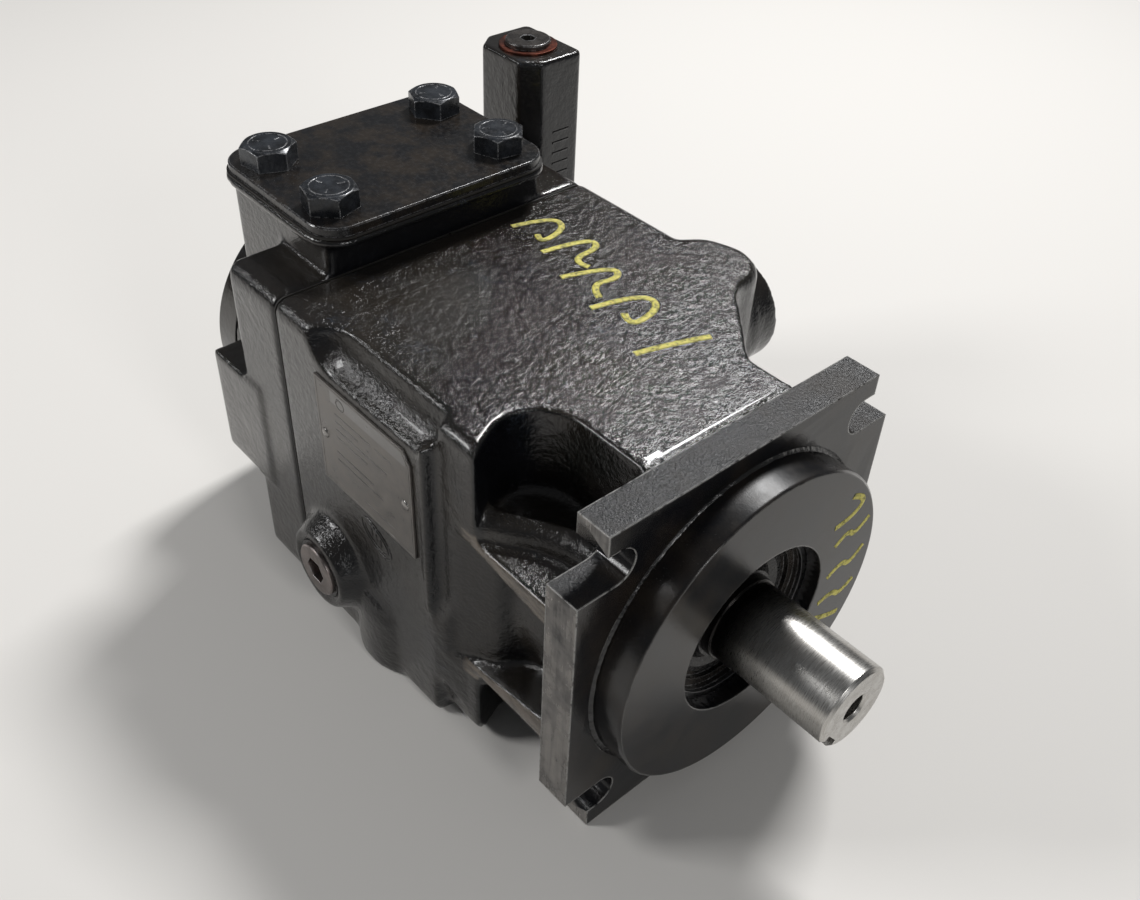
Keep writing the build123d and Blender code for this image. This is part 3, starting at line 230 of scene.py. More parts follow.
@dataclass(frozen=True)
class CastPaint:
    """Oily semi-gloss black paint on a rough casting, with dust and a painted brown sheen on its top and near
    (-Y) faces, and wear on its proud edges.
    """

    name: str = "cast_paint"
    grain: Grain = Grain.CAST
    dark: tuple[float, float, float] = (0.0045, 0.0048, 0.006)
    # colour of the dust and of the painted brown sheen (a painted reflection) on the top and near faces
    dusty_sheen: tuple[float, float, float] = (0.034, 0.027, 0.019)
    grey: tuple[float, float, float] = (0.07, 0.085, 0.11)
    worn: tuple[float, float, float] = (0.15, 0.125, 0.1)
    edge: float = 0.0

    def make(self) -> bpy.types.Material:
        """Build the material."""
        sheet = Sheet(self.name)
        cloud = sheet.noise(17.0, 4.0, 0.6)
        patch = sheet.noise(55.0, 5.0, 0.7, shift=5.0)
        fine = sheet.noise(720.0, 3.0, 0.7)
        pits = sheet.noise(2500.0, 2.0, 0.6, shift=0.4)
        # painted reflection mixed with real dust: a warm brown sheen is painted in cloudy patches on upward
        # faces and on the near (-Y) faces
        up = sheet.ramp(sheet.facing("Z"), 0.2, 0.95)
        side = sheet.ramp(sheet.facing("Y"), -0.95, -0.5, 1.0, 0.0)
        flat = sheet.math("MAXIMUM", up, side)
        dust_and_sheen = sheet.product(
            sheet.ramp(cloud, 0.3, 0.72, 0.25, 1.0),
            sheet.ramp(pits, 0.3, 0.75, 0.3, 1.0),
            flat,
        )
        colour = sheet.mix(dust_and_sheen, self.dark, self.dusty_sheen)
        scuff = sheet.product(sheet.ramp(patch, 0.54, 0.76), sheet.ramp(fine, 0.4, 0.65), 0.4)
        colour = sheet.mix(scuff, colour, self.grey)
        web = sheet.product(
            sheet.ramp(sheet.math("ABSOLUTE", sheet.axis("Y")), 0.0683, 0.0689),
            sheet.between(sheet.axis("X"), -0.06, 0.01, 0.002),
            sheet.between(sheet.math("ABSOLUTE", sheet.axis("Z")), 0.0205, 0.0365, 0.001),
            sheet.ramp(sheet.noise(330.0, 4.0, 0.7, (0.25, 1.0, 1.0), 3.0), 0.3, 0.6, 0.35, 0.95),
        )
        colour = sheet.mix(web, colour, self.worn)
        rough = sheet.ramp(sheet.noise(80.0, 5.0, 0.7, shift=1.0), 0.28, 0.72, 0.05, 0.2)
        rough = sheet.math("ADD", rough, sheet.math("MULTIPLY", dust_and_sheen, 0.08))
        height = sheet.math("ADD", fine, sheet.math("MULTIPLY", pits, 0.25))
        waves = sheet.noise(300.0, 2.0, 0.5, shift=2.0)
        height = sheet.math("ADD", height, sheet.math("MULTIPLY", waves, 1.6))
        start = sheet.rounded(0.0009) if self.edge > 0 else None
        if self.edge > 0:
            broken = sheet.ramp(sheet.noise(420.0, 4.0, 0.7, shift=7.0), 0.42, 0.6)
            chips = sheet.product(sheet.convex_edge(0.0011), broken)
            colour = sheet.mix(sheet.math("MULTIPLY", chips, self.edge), colour, (0.3, 0.29, 0.28))
        sheet.set(Base_Color=colour, Roughness=rough)
        sheet.set(Normal=sheet.bump(height, 0.85, self.grain.value, start))
        sheet.set(Specular_IOR_Level=0.5, Coat_Weight=0.25, Coat_Roughness=0.06)
        return sheet.material


@dataclass(frozen=True)
class FlangeFinish:
    """Machined flange: oily black faces, with bare brushed steel on the outer side faces."""

    name: str = "flange_finish"
    dark: tuple[float, float, float] = (0.006, 0.0065, 0.008)
    bare: tuple[float, float, float] = (0.34, 0.32, 0.3)

    def make(self) -> bpy.types.Material:
        """Build the material."""
        sheet = Sheet(self.name)
        speck = sheet.noise(1400.0, 3.0, 0.7, shift=1.5)
        cloud = sheet.noise(38.0, 4.0, 0.65)
        oil = sheet.mix(sheet.ramp(cloud, 0.35, 0.75), self.dark, (0.022, 0.017, 0.013))
        colour = sheet.mix(sheet.product(sheet.ramp(speck, 0.66, 0.78), 0.35), oil, (0.3, 0.29, 0.27))
        side = sheet.ramp(sheet.math("ABSOLUTE", sheet.facing("Y")), 0.8, 0.95)
        outer = sheet.ramp(sheet.math("ABSOLUTE", sheet.axis("Y")), 0.0605, 0.0612)
        back = sheet.ramp(sheet.axis("X"), -0.0005, 0.0005, 1.0, 0.0)
        lines = sheet.noise(420.0, 4.0, 0.7, (1.0, 1.0, 0.06), 4.0)
        stain = sheet.ramp(sheet.noise(70.0, 4.0, 0.7, shift=8.0), 0.32, 0.62, 0.25, 1.0)
        bare = sheet.product(side, outer, back, stain, sheet.ramp(lines, 0.3, 0.65, 0.4, 1.0))
        colour = sheet.mix(bare, colour, self.bare)
        broken = sheet.ramp(sheet.noise(260.0, 4.0, 0.7, shift=2.0), 0.36, 0.52)
        edge = sheet.product(sheet.convex_edge(0.0011), broken)
        wear = sheet.product(edge, sheet.ramp(sheet.axis("X"), 0.004, 0.006, 1.0, 0.35))
        colour = sheet.mix(sheet.product(wear, 0.85), colour, (0.5, 0.49, 0.47))
        rough = sheet.math("ADD", sheet.ramp(cloud, 0.3, 0.7, 0.1, 0.24), sheet.math("MULTIPLY", bare, 0.18))
        waves = sheet.noise(190.0, 2.0, 0.5, shift=3.0)
        height = sheet.math("ADD", speck, sheet.math("MULTIPLY", waves, 0.8))
        ends = sheet.ramp(sheet.math("ABSOLUTE", sheet.facing("Z")), 0.8, 0.95)
        cast = sheet.product(ends, back, sheet.noise(1050.0, 3.0, 0.7, shift=6.0), 9.0)
        height = sheet.math("ADD", height, cast)
        sheet.set(Base_Color=colour, Metallic=sheet.math("MULTIPLY", bare, 0.8))
        rough = sheet.math("ADD", rough, sheet.math("MULTIPLY", ends, 0.16))
        sheet.set(Roughness=rough, Specular_IOR_Level=sheet.ramp(ends, 0.0, 1.0, 0.5, 0.3))
        sheet.set(Normal=sheet.bump(height, 0.5, Grain.FACED.value, sheet.rounded(0.0009)))
        return sheet.material


@dataclass(frozen=True)
class Metal:
    """A metal with fine directional marks, stained patches and lighter edges."""

    name: str
    colour: tuple[float, float, float]
    tint: tuple[float, float, float]
    low: float = 0.2
    high: float = 0.4
    stretch: tuple[float, float, float] = (1.0, 1.0, 1.0)
    metallic: float = 1.0
    marks: float = 600.0
    depth: float = 0.00003
    edge: float = 0.0
    radius: float = 0.0004

    def make(self) -> bpy.types.Material:
        """Build the material."""
        sheet = Sheet(self.name)
        lines = sheet.noise(self.marks, 3.0, 0.7, self.stretch)
        cloud = sheet.noise(90.0, 5.0, 0.65, shift=3.0)
        colour = sheet.mix(sheet.ramp(cloud, 0.38, 0.66), self.colour, self.tint)
        if self.edge > 0:
            broken = sheet.ramp(sheet.noise(500.0, 4.0, 0.7, shift=7.0), 0.4, 0.56)
            chips = sheet.product(sheet.convex_edge(0.0009), broken, self.edge)
            colour = sheet.mix(chips, colour, (0.42, 0.42, 0.43))
        rough = sheet.ramp(lines, 0.3, 0.7, self.low, self.high)
        normal = sheet.bump(lines, 0.6, self.depth, sheet.rounded(self.radius))
        sheet.set(Base_Color=colour, Roughness=rough, Normal=normal, Metallic=self.metallic)
        return sheet.material


@dataclass(frozen=True)
class ShaftSteel:
    """Bright fine-turned steel, darker and oily towards the seal."""

    name: str = "shaft_steel"

    def make(self) -> bpy.types.Material:
        """Build the material."""
        sheet = Sheet(self.name)
        lines = sheet.noise(500.0, 4.0, 0.75, (9.0, 0.5, 0.5))
        blotch = sheet.noise(60.0, 4.0, 0.6, shift=2.0)
        steel = sheet.mix(sheet.ramp(lines, 0.3, 0.7), (0.4, 0.385, 0.36), (0.6, 0.59, 0.57))
        steel = sheet.mix(sheet.ramp(blotch, 0.45, 0.72, 0.0, 0.45), steel, (0.36, 0.33, 0.3))
        reach = sheet.math("ADD", sheet.axis("X"), sheet.math("MULTIPLY", blotch, 0.006))
        oil = sheet.ramp(reach, 0.012, 0.024, 1.0, 0.0)
        colour = sheet.mix(oil, steel, (0.05, 0.047, 0.045))
        rough = sheet.ramp(lines, 0.25, 0.75, 0.24, 0.34)
        sheet.set(Base_Color=colour, Roughness=rough, Metallic=1.0)
        sheet.set(Normal=sheet.bump(lines, 0.4, 0.00002, sheet.rounded(0.0004)))
        return sheet.material


@dataclass(frozen=True)
class PlateFinish:
    """Grey stamped nameplate with a lighter band along its top edge."""

    name: str = "nameplate_finish"

    def make(self) -> bpy.types.Material:
        """Build the material."""
        sheet = Sheet(self.name)
        cloud = sheet.noise(120.0, 5.0, 0.7)
        grey = sheet.mix(sheet.ramp(cloud, 0.3, 0.72), (0.105, 0.097, 0.09), (0.18, 0.165, 0.15))
        band = sheet.product(sheet.between(sheet.axis("Z"), 0.0495, 0.0545, 0.0004),
                             sheet.between(sheet.axis("X"), -0.128, -0.083, 0.0005))
        colour = sheet.mix(sheet.math("MULTIPLY", band, 0.7), grey, (0.22, 0.215, 0.21))
        rough = sheet.ramp(cloud, 0.3, 0.7, 0.26, 0.46)
        sheet.set(Base_Color=colour, Roughness=rough, Metallic=0.4)
        sheet.set(Normal=sheet.bump(sheet.noise(700.0, 3.0, 0.6), 0.5, 0.00006, sheet.rounded(0.0003)))
        return sheet.material


@dataclass(frozen=True)
class MarkerPaint:
    """Dry yellow marker paint, uneven along its strokes."""

    name: str = "marker_paint"

    def make(self) -> bpy.types.Material:
        """Build the material."""
        sheet = Sheet(self.name)
        thin = sheet.ramp(sheet.noise(650.0, 4.0, 0.7), 0.34, 0.56)
        colour = sheet.mix(thin, (0.16, 0.15, 0.03), (0.62, 0.56, 0.12))
        sheet.set(Base_Color=colour, Roughness=0.6, Normal=sheet.bump(thin, 0.6, 0.0001))
        return sheet.material


@dataclass(frozen=True)
class SoftFinish:
    """Rubber or fibre: dark, with a fine uneven grain."""

    name: str
    colour: tuple[float, float, float]
    tint: tuple[float, float, float]
    low: float
    high: float

    def make(self) -> bpy.types.Material:
        """Build the material."""
        sheet = Sheet(self.name)
        grain = sheet.noise(900.0, 3.0, 0.6)
        colour = sheet.mix(sheet.ramp(grain, 0.3, 0.7), self.colour, self.tint)
        sheet.set(Base_Color=colour, Roughness=sheet.ramp(grain, 0.3, 0.7, self.low, self.high))
        sheet.set(Normal=sheet.bump(grain, 0.5, 0.00005))
        return sheet.material


def live(name: str, mesh: bpy.types.Mesh) -> bpy.types.Object:
    """Link a new object for a mesh."""
    thing = bpy.data.objects.new(name, mesh)
    bpy.context.scene.collection.objects.link(thing)
    return thing


def settled(thing: bpy.types.Object) -> bpy.types.Mesh:
    """A new mesh with an object's modifiers applied.

    Args:
        thing: the object, which is removed afterwards.

    Returns:
        The evaluated mesh.
    """
    graph = bpy.context.evaluated_depsgraph_get()
    mesh = bpy.data.meshes.new_from_object(thing.evaluated_get(graph))
    bpy.data.objects.remove(thing)
    return mesh


def finish_piece(name: str, mesh: bpy.types.Mesh, material: bpy.types.Material,
                 replaced: Optional[str] = None) -> bpy.types.Object:
    """Make a finished piece ride on the pump's body.

    Args:
        name: the piece's name.
        mesh: its mesh, already in place.
        material: its finish.
        replaced: the CAD node that it stands for.

    Returns:
        The piece.
    """
    mesh.materials.clear()
    mesh.materials.append(material)
    mesh.polygons.foreach_set("use_smooth", [True] * len(mesh.polygons))
    piece = live(name, mesh)
    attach(piece, "pump_body")
    if replaced:
        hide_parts(replaced)
    log.info("%s: %d faces", name, len(mesh.polygons))
    return piece


@dataclass
class CastSkin:
    """A casting's outer surface, with soft corners where the CAD's are sharp."""

    node: str
    voxel: float
    passes: int
    finish: CastPaint
    faces: int = 180000
    flange_x: Optional[float] = None
    crisp_top: Optional[float] = None

    def source(self) -> bpy.types.Object:
        """A merged copy of the node's mesh, remeshed evenly."""
        shape = bmesh.new()
        shape.from_mesh(NODES[self.node].data)
        bmesh.ops.remove_doubles(shape, verts=shape.verts, dist=MERGE)
        mesh = bpy.data.meshes.new(self.node + "_copy")
        shape.to_mesh(mesh)
        shape.free()
        copy = live(self.node + "_copy", mesh)
        remesh = copy.modifiers.new("even", "REMESH")
        remesh.mode = "VOXEL"
        remesh.voxel_size = self.voxel
        return copy

    def smooth(self, shape: bmesh.types.BMesh, verts: list[bmesh.types.BMVert]) -> None:
        """One even smoothing pass over some of a mesh's points."""
        bmesh.ops.smooth_vert(
            shape, verts=verts, factor=0.5, use_axis_x=True, use_axis_y=True, use_axis_z=True)

    def softened(self, mesh: bpy.types.Mesh) -> None:
        """Smooth the cast areas more than the machined ones."""
        shape = bmesh.new()
        shape.from_mesh(mesh)
        verts = list(shape.verts)
        self.smooth(shape, verts)
        if self.flange_x is not None:
            verts = [v for v in verts if v.co.x < self.flange_x - 0.001]
        if self.crisp_top is not None:
            verts = [v for v in verts if v.co.z < self.crisp_top]
        for _ in range(self.passes):
            self.smooth(shape, verts)
        if self.flange_x is not None:
            shape.normal_update()
            for vert in [v for v in shape.verts if v.co.x > self.flange_x - 0.0012]:
                vert.co -= vert.normal * 0.0008
        shape.to_mesh(mesh)
        shape.free()

    def build(self) -> None:
        """Make the skin and let it stand for its node."""
        mesh = settled(self.source())
        self.softened(mesh)
        triangles = 2 * len(mesh.polygons)
        skin = live(self.node + "_soft", mesh)
        if triangles > self.faces:
            thin = skin.modifiers.new("thin", "DECIMATE")
            thin.ratio = self.faces / triangles
        finish_piece(self.node + "_skin", settled(skin), self.finish.make(), self.node)


@dataclass
class Flange:
    """The machined flange and pilot, kept crisp in front of the soft casting."""

    cut_x: float = -0.0139

    def build(self) -> None:
        """Cut the flange from the housing, close it and dress it."""
        shape = bmesh.new()
        shape.from_mesh(NODES["main_housing"].data)
        bmesh.ops.remove_doubles(shape, verts=shape.verts, dist=MERGE)
        every = shape.verts[:] + shape.edges[:] + shape.faces[:]
        cut = bmesh.ops.bisect_plane(
            shape, geom=every, plane_co=(self.cut_x, 0, 0), plane_no=(1, 0, 0), clear_inner=True)
        rim = [e for e in cut["geom_cut"] if isinstance(e, bmesh.types.BMEdge)]
        bmesh.ops.triangle_fill(shape, edges=rim, use_beauty=True, normal=(-1, 0, 0))
        bmesh.ops.recalc_face_normals(shape, faces=shape.faces)
        mesh = bpy.data.meshes.new("mounting_flange")
        shape.to_mesh(mesh)
        shape.free()
        piece = finish_piece("mounting_flange", mesh, FlangeFinish().make(), "main_housing")
        mesh = piece.data
        mesh.set_sharp_from_angle(angle=math.radians(28))
        even = piece.modifiers.new("even_normals", "WEIGHTED_NORMAL")
        even.keep_sharp = True


@dataclass
class Stroke:
    """A rounded, flattened bead along a line on a plane: paint, a raised cast line or a stamped mark."""

    points: list[tuple[float, float]]
    width: float
    height: float
    closed: bool = False

    def mesh(self, place: Matrix) -> bmesh.types.BMesh:
        """The bead's mesh.

        Args:
            place: takes the plane's X and Y, in millimetres, and its height to the pump's frame.

        Returns:
            The bead as a bmesh.
        """
        curve = bpy.data.curves.new("bead", "CURVE")
        curve.dimensions = "3D"
        curve.bevel_depth = self.width / 2
        curve.bevel_resolution = 2
        curve.use_fill_caps = True
        curve.resolution_u = 6
        line = curve.splines.new("NURBS")
        line.points.add(len(self.points) - 1)
        for spot, (u, v) in zip(line.points, self.points):
            spot.co = (u, v, 0, 1)
        line.use_endpoint_u = not self.closed
        line.use_cyclic_u = self.closed
        line.order_u = min(3, len(self.points))
        holder = bpy.data.objects.new("bead", curve)
        bpy.context.scene.collection.objects.link(holder)
        mesh = settled(holder)
        shape = bmesh.new()
        shape.from_mesh(mesh)
        bpy.data.meshes.remove(mesh)
        bmesh.ops.scale(shape, vec=(1, 1, 2 * self.height / self.width), verts=shape.verts)
        bmesh.ops.transform(shape, matrix=place @ Matrix.Scale(MM, 4), verts=shape.verts)
        return shape


def joined(shapes: list[bmesh.types.BMesh], name: str) -> bpy.types.Mesh:
    """Put several bmeshes in one mesh."""
    whole = bmesh.new()
    for shape in shapes:
        part = bpy.data.meshes.new("part")
        shape.to_mesh(part)
        shape.free()
        whole.from_mesh(part)
        bpy.data.meshes.remove(part)
    bmesh.ops.recalc_face_normals(whole, faces=whole.faces)
    mesh = bpy.data.meshes.new(name)
    whole.to_mesh(mesh)
    whole.free()
    return mesh


def plane_at(x: float, y: float, z: float, u: tuple[int, int, int], v: tuple[int, int, int]) -> Matrix:
    """A placement whose local X and Y run along two directions, from a point in millimetres."""
    across, along = Vector(u), Vector(v)
    normal = across.cross(along)
    turn = Matrix((across, along, normal)).transposed().to_4x4()
    return Matrix.Translation(Vector((x, y, z)) * MM) @ turn


@dataclass
class Markings:
    """Generic marker strokes, cast marks and the raised parting line."""

    top_z: float = 72.7
    face_x: float = 12.7
    side_y: float = -74.0

    def paint(self) -> None:
        """Slanting strokes of marker paint on the top and on the pilot's face."""
        top = plane_at(0, 0, self.top_z, (1, 0, 0), (0, 1, 0))
        strokes = [
            [(-152, 26), (-148, 44), (-138, 42), (-135, 26), (-141, 30)],
            [(-130, 23), (-127, 44), (-119, 43), (-119, 27), (-111, 30)],
            [(-112, 17), (-106, 38), (-98, 34), (-102, 22), (-93, 19)],
            [(-90, 12), (-86, 33), (-75, 33), (-72, 14), (-80, 19)],
            [(-60, 5), (-57, 18), (-51, 33)],
        ]
        shapes = [Stroke(points, 2.7, 0.22).mesh(top) for points in strokes]
        face = plane_at(self.face_x, 0, 0, (0, 1, 0), (0, 0, 1))
        marks = [
            [(43, 37), (52, 33), (46, 26), (36, 26)],
            [(57, 20), (50, 14), (45, 20), (39, 15)],
            [(58, 5), (52, -2), (46, 4), (39, -1)],
            [(57, -12), (50, -17), (45, -11), (37, -13)],
            [(52, -27), (44, -25), (35, -20)],
        ]
        shapes += [Stroke(points, 2.6, 0.18).mesh(face) for points in marks]
        finish_piece("marker_strokes", joined(shapes, "marker_strokes"), MarkerPaint().make())

    def cast_marks(self, material: bpy.types.Material) -> None:
        """The parting line along the top and an oval cast mark on the near side."""
        top = plane_at(0, 0, self.top_z, (1, 0, 0), (0, 1, 0))
        shapes = [Stroke([(-162, 3.4), (-130, 3.4), (-97, 2.6), (-80, 2.2)], 0.9, 0.35).mesh(top)]
        side = plane_at(-107.0, self.side_y, -2.0, (1, 0, 0), (0, 0, 1))
        for wide, high in ((9.5, 5.8), (7.4, 3.9)):
            turns = [math.radians(30 * i) for i in range(12)]
            tilt = -0.32
            oval = [(wide * math.cos(a), high * math.sin(a) + tilt * wide * math.cos(a)) for a in turns]
            shapes.append(Stroke(oval, 0.9, 0.35, closed=True).mesh(side))
        for offset in (-2.8, 0.0, 2.8):
            bar = [(offset, -1.7 - 0.32 * offset), (offset, 1.7 - 0.32 * offset)]
            shapes.append(Stroke(bar, 0.9, 0.35).mesh(side))
        finish_piece("cast_marks", joined(shapes, "cast_marks"), material)

    def valve_marks(self, material: bpy.types.Material) -> None:
        """Generic raised bars low on the compensator's front face."""
        low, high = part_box("compensator_body")
        face = plane_at(high[0] / MM, 91.5, 62.0, (0, 1, 0), (0, 0, 1))
        rows = [[(-4.5, 5.0 * i), (4.5, 5.0 * i)] for i in range(-3, 4)]
        shapes = [Stroke(row, 1.2, 0.3).mesh(face) for row in rows]
        finish_piece("compensator_marks", joined(shapes, "compensator_marks"), material)


@dataclass
class Nameplate:
    """The plate's printed lines and its domed drive rivets."""

    left: float = -135.5
    right: float = -83.0
    face_y: float = -74.8
    rivets: tuple[tuple[float, float], ...] = ((-134.0, 31.5), (-84.5, 31.5))

    def build(self) -> None:
        """Make the lines and the rivets."""
        plate = plane_at(0, self.face_y, 0, (1, 0, 0), (0, 0, 1))
        rows = [
            (45.0, -126, -104), (45.0, -101, -92), (41.5, -126, -112), (38.0, -126, -95),
            (34.5, -126, -107), (27.0, -127, -104), (23.5, -127, -98), (14.0, -112, -92),
        ]
        shapes = [Stroke([(a, z), (b, z)], 0.9, 0.05).mesh(plate) for z, a, b in rows]
        eighths = [math.radians(45 * i) for i in range(8)]
        emblem = [(-122 + 2.6 * math.cos(a), 51 + 2.2 * math.sin(a)) for a in eighths]
        shapes.append(Stroke(emblem, 0.8, 0.06, closed=True).mesh(plate))
        border = [(-137, 9.5), (-81.5, 9.5), (-81.5, 50), (-85, 55), (-137, 55)]
        corners = border + border[:1]
        for one, other in zip(corners, corners[1:]):
            shapes.append(Stroke([one, other], 0.45, 0.08).mesh(plate))
        lines = Metal("plate_lines", (0.2, 0.19, 0.18), (0.1, 0.095, 0.09), 0.3, 0.45, metallic=0.4)
        finish_piece("nameplate_lines", joined(shapes, "nameplate_lines"), lines.make())
        domes = []
        for x, z in self.rivets:
            dome = bmesh.new()
            bmesh.ops.create_uvsphere(dome, u_segments=24, v_segments=12, radius=2.1 * MM)
            bmesh.ops.scale(dome, vec=(1, 0.42, 1), verts=dome.verts)
            bmesh.ops.translate(dome, vec=(x * MM, (self.face_y + 0.05) * MM, z * MM), verts=dome.verts)
            domes.append(dome)
        steel = Metal("rivet_steel", (0.3, 0.29, 0.28), (0.16, 0.15, 0.14), 0.25, 0.4)
        heads = joined(domes, "nameplate_rivet_heads")
        finish_piece("nameplate_rivet_heads", heads, steel.make(), "nameplate_rivets")


@dataclass
class BoltMarks:
    """Raised generic marks on the hexagon heads: a ring and three bars on each."""

    turns: tuple[float, ...] = (8.0, 38.0, -14.0, 21.0)
    centre: tuple[float, float] = (-198.0, 0.0)
    spacing: tuple[float, float] = (42.88, 77.77)

    def build(self, material: bpy.types.Material) -> None:
        """Put a ring and three bars on each head."""
        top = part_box("port_cover_bolts")[1][2] / MM
        shapes = []
        spots = [(sx, sy) for sx in (-1, 1) for sy in (-1, 1)]
        for (sx, sy), turn in zip(spots, self.turns):
            x = self.centre[0] + sx * self.spacing[0] / 2
            y = self.centre[1] + sy * self.spacing[1] / 2
            turned = Matrix.Rotation(math.radians(turn), 4, "Z")
            head = plane_at(x, y, top - 0.12, (1, 0, 0), (0, 1, 0)) @ turned
            twelfths = [math.radians(30 * i) for i in range(12)]
            ring = [(7.6 * math.cos(a), 7.6 * math.sin(a)) for a in twelfths]
            shapes.append(Stroke(ring, 0.7, 0.28, closed=True).mesh(head))
            for angle in (90, 210, 330):
                a = math.radians(angle)
                bar = [(3.2 * math.cos(a), 3.2 * math.sin(a)), (6.0 * math.cos(a), 6.0 * math.sin(a))]
                shapes.append(Stroke(bar, 0.9, 0.3).mesh(head))
        finish_piece("bolt_head_marks", joined(shapes, "bolt_head_marks"), material)


@dataclass
class Studio:
    """The floor, the lights and the camera."""

    azimuth: float = 46.905
    elevation: float = 40.359
    roll: float = 2.852
    place: tuple[float, float, float] = (0.1638, -0.2322, 0.3051)
    lens: float = 37.08
    floor_z: float = -0.0727

    def floor(self) -> None:
        """A wide pale floor."""
        shape = bmesh.new()
        bmesh.ops.create_grid(shape, x_segments=1, y_segments=1, size=6.0)
        bmesh.ops.translate(shape, verts=shape.verts, vec=(0, 0, self.floor_z - 0.0004))
        mesh = bpy.data.meshes.new("floor")
        shape.to_mesh(mesh)
        shape.free()
        floor = bpy.data.objects.new("floor", mesh)
        bpy.context.scene.collection.objects.link(floor)
        sheet = Sheet("studio_floor")
        sheet.set(Base_Color=(0.72, 0.7, 0.67, 1.0), Roughness=0.75)
        mesh.materials.append(sheet.material)

    def camera(self) -> None:
        """The camera, aimed by azimuth, elevation and roll."""
        data = bpy.data.cameras.new("camera")
        data.lens = self.lens
        data.sensor_width = 36.0
        camera = bpy.data.objects.new("camera", data)
        bpy.context.scene.collection.objects.link(camera)
        a, e = math.radians(self.azimuth), math.radians(self.elevation)
        back = Vector((math.sin(a) * math.cos(e), -math.cos(a) * math.cos(e), math.sin(e)))
        turn = back.to_track_quat("Z", "Y") @ Euler((0, 0, math.radians(self.roll))).to_quaternion()
        camera.matrix_world = Matrix.LocRotScale(Vector(self.place), turn, None)
        bpy.context.scene.camera = camera

    def light(self, name: str, place: tuple[float, float, float], size: float, watts: float,
              colour: tuple[float, float, float] = (1.0, 1.0, 1.0)) -> None:
        """One soft area light aimed at the pump.

        Args:
            name: the lamp's name.
            place: where it stands, in metres.
            size: its side, in metres.
            watts: its power.
            colour: its colour.
        """
        data = bpy.data.lights.new(name, "AREA")
        data.shape = "SQUARE"
        data.size = size
        data.energy = watts
        data.color = colour
        lamp = bpy.data.objects.new(name, data)
        bpy.context.scene.collection.objects.link(lamp)
        aim = Vector((-0.09, 0.0, 0.0)) - Vector(place)
        lamp.location = place
        lamp.rotation_euler = aim.to_track_quat("-Z", "Y").to_euler()

    def build(self) -> None:
        """Make the floor, the sky, the lights and the camera."""
        self.floor()
        world = bpy.data.worlds.new("studio_sky")
        world.use_nodes = True
        world.node_tree.nodes["Background"].inputs["Color"].default_value = (0.93, 0.96, 1.0, 1.0)
        world.node_tree.nodes["Background"].inputs["Strength"].default_value = 0.12
        bpy.context.scene.world = world
        self.light("key", (-0.5, 0.9, 1.3), 0.32, 24.0)
        self.light("fill", (-0.9, -1.0, 0.9), 0.35, 9.0)
        self.light("front", (1.1, -0.2, 0.7), 0.3, 4.0)
        self.camera()
        bpy.context.scene.view_settings.view_transform = "Standard"


def dress(names: list[str], material: bpy.types.Material) -> None:
    """Give CAD nodes a material."""
    for name in names:
        mesh_object = NODES[name]
        mesh_object.data.materials.clear()
        mesh_object.data.materials.append(material)


def dress_inside() -> None:
    """Finish the running gear, which shows only when the pump is taken apart."""
    bright = Metal("bearing_steel", (0.62, 0.62, 0.61), (0.5, 0.5, 0.49), 0.1, 0.22, (6.0, 1.0, 1.0))
    races = [
        "front_bearing_outer_race", "front_bearing_inner_race", "front_bearing_rollers",
        "rear_bearing_cup", "rear_bearing_needles", "retainer_guide", "compensator_spool",
    ]
    dress(races + [f"piston_{i}" for i in range(1, 10)], bright.make())
    machined = Metal("machined_steel", (0.5, 0.49, 0.47), (0.36, 0.35, 0.33), 0.24, 0.4, (8.0, 1.0, 1.0))
    gear = [
        "cylinder_barrel", "slipper_retainer", "swashplate", "servo_sleeves", "control_piston", "bias_piston",
    ]
    dress(gear, machined.make())
    bronze = Metal("bronze", (0.55, 0.38, 0.17), (0.42, 0.27, 0.12), 0.25, 0.4)
    dress(["cradle_bearings", "valve_plate"] + [f"slipper_{i}" for i in range(1, 10)], bronze.make())
    spring = Metal("spring_steel", (0.22, 0.22, 0.225), (0.13, 0.13, 0.135), 0.25, 0.4)
    dress(["barrel_springs", "bias_spring", "compensator_spring", "snap_ring"], spring.make())


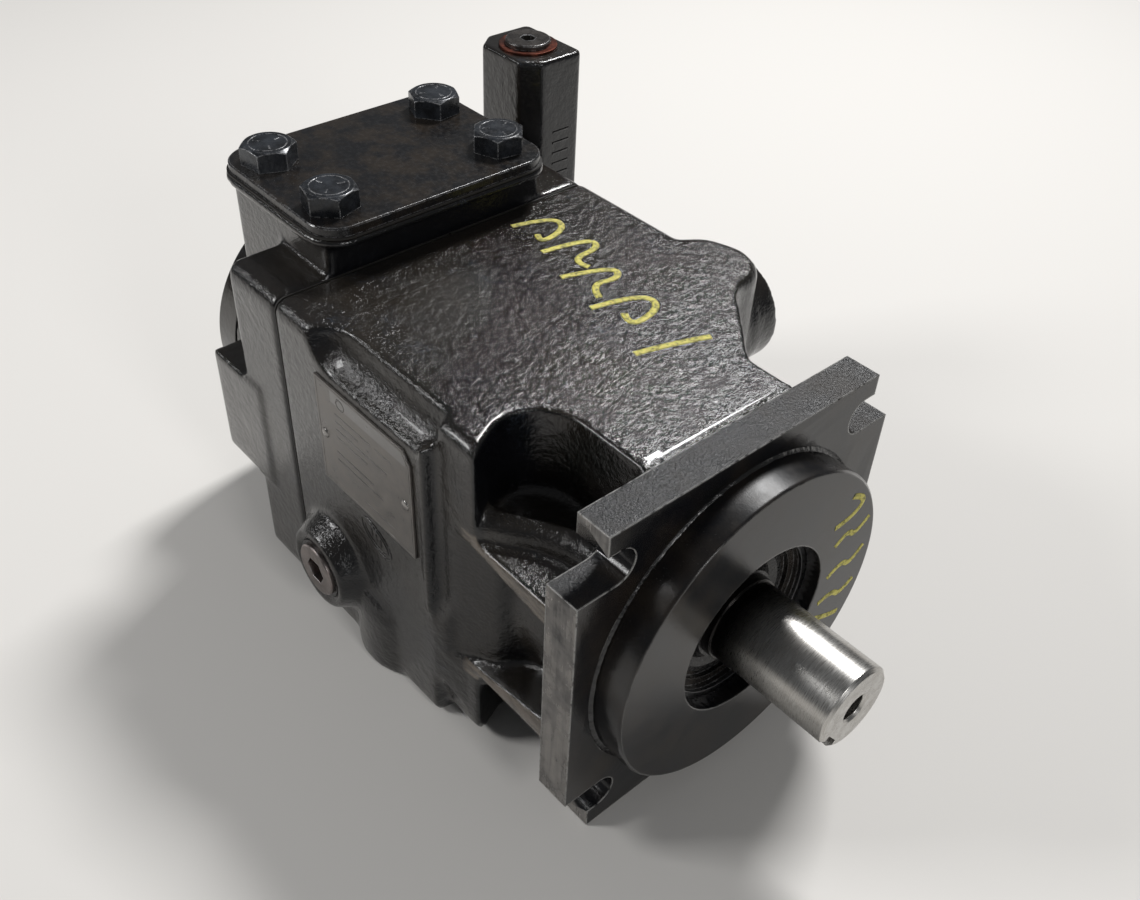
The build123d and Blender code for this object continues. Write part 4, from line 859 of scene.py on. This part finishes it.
def dress_outside() -> None:
    """Finish the CAD nodes that show as they are."""
    dress(["rear_cover"], CastPaint("cover_paint", Grain.FACED, edge=0.4).make())
    cover = Metal("cover_steel", (0.009, 0.009, 0.01), (0.024, 0.019, 0.015), 0.14, 0.34, marks=420.0,
                  metallic=0.0, depth=0.00012, edge=0.7)
    dress(["port_cover_plate"], cover.make())
    black = Metal("blackened_steel", (0.01, 0.011, 0.013), (0.032, 0.036, 0.043), 0.18, 0.38, marks=420.0,
                  metallic=0.2, depth=0.00016, edge=1.0, radius=0.0006)
    dress(["port_cover_bolts", "port_block_screws", "rear_cover_screws", "compensator_screws"], black.make())
    oiled = Metal("oiled_steel", (0.011, 0.01, 0.01), (0.03, 0.025, 0.021), 0.16, 0.3, marks=420.0,
                  metallic=0.0, depth=0.00006, edge=0.6)
    dress(["seal_carrier"], oiled.make())
    pale = Metal("drain_plug_steel", (0.32, 0.275, 0.26), (0.19, 0.165, 0.155), 0.28, 0.45,
                 marks=500.0, edge=0.8)
    dress(["drain_plug"], pale.make())
    plug = Metal("plug_steel", (0.075, 0.066, 0.06), (0.035, 0.031, 0.029), 0.24, 0.42, marks=500.0,
                 metallic=0.6, edge=1.0)
    dress(["compensator_plug", "adjusting_screw"], plug.make())
    copper = Metal("copper", (0.17, 0.052, 0.034), (0.06, 0.028, 0.022), 0.3, 0.5)
    dress(["compensator_washer"], copper.make())
    dress(["nameplate"], PlateFinish().make())
    dress(["drive_shaft"], ShaftSteel().make())
    rubber = SoftFinish("seal_rubber", (0.008, 0.008, 0.008), (0.022, 0.02, 0.02), 0.2, 0.4)
    dress(["shaft_seal", "drain_plug_washer"], rubber.make())
    fibre = SoftFinish("gasket", (0.012, 0.011, 0.01), (0.03, 0.027, 0.024), 0.6, 0.8)
    dress(["housing_gasket", "port_cover_gasket"], fibre.make())
    BoltMarks().build(black.make())


def main() -> None:
    """Build every finish and piece, then the studio."""
    logging.basicConfig(level=logging.INFO)
    dress_inside()
    dress_outside()
    cast = CastPaint()
    CastSkin("main_housing", 0.00125, 5, cast, flange_x=-0.014).build()
    CastSkin("port_block", 0.0012, 3, CastPaint("block_paint", Grain.BLOCK)).build()
    CastSkin("compensator_body", 0.0009, 2, CastPaint("valve_paint", Grain.BLOCK), faces=120000).build()
    Flange().build()
    marks = Markings()
    marks.paint()
    marks.cast_marks(CastPaint("mark_paint").make())
    marks.valve_marks(CastPaint("valve_mark_paint", Grain.BLOCK).make())
    Nameplate().build()
    Studio().build()


if __name__ == "__main__":
    main()
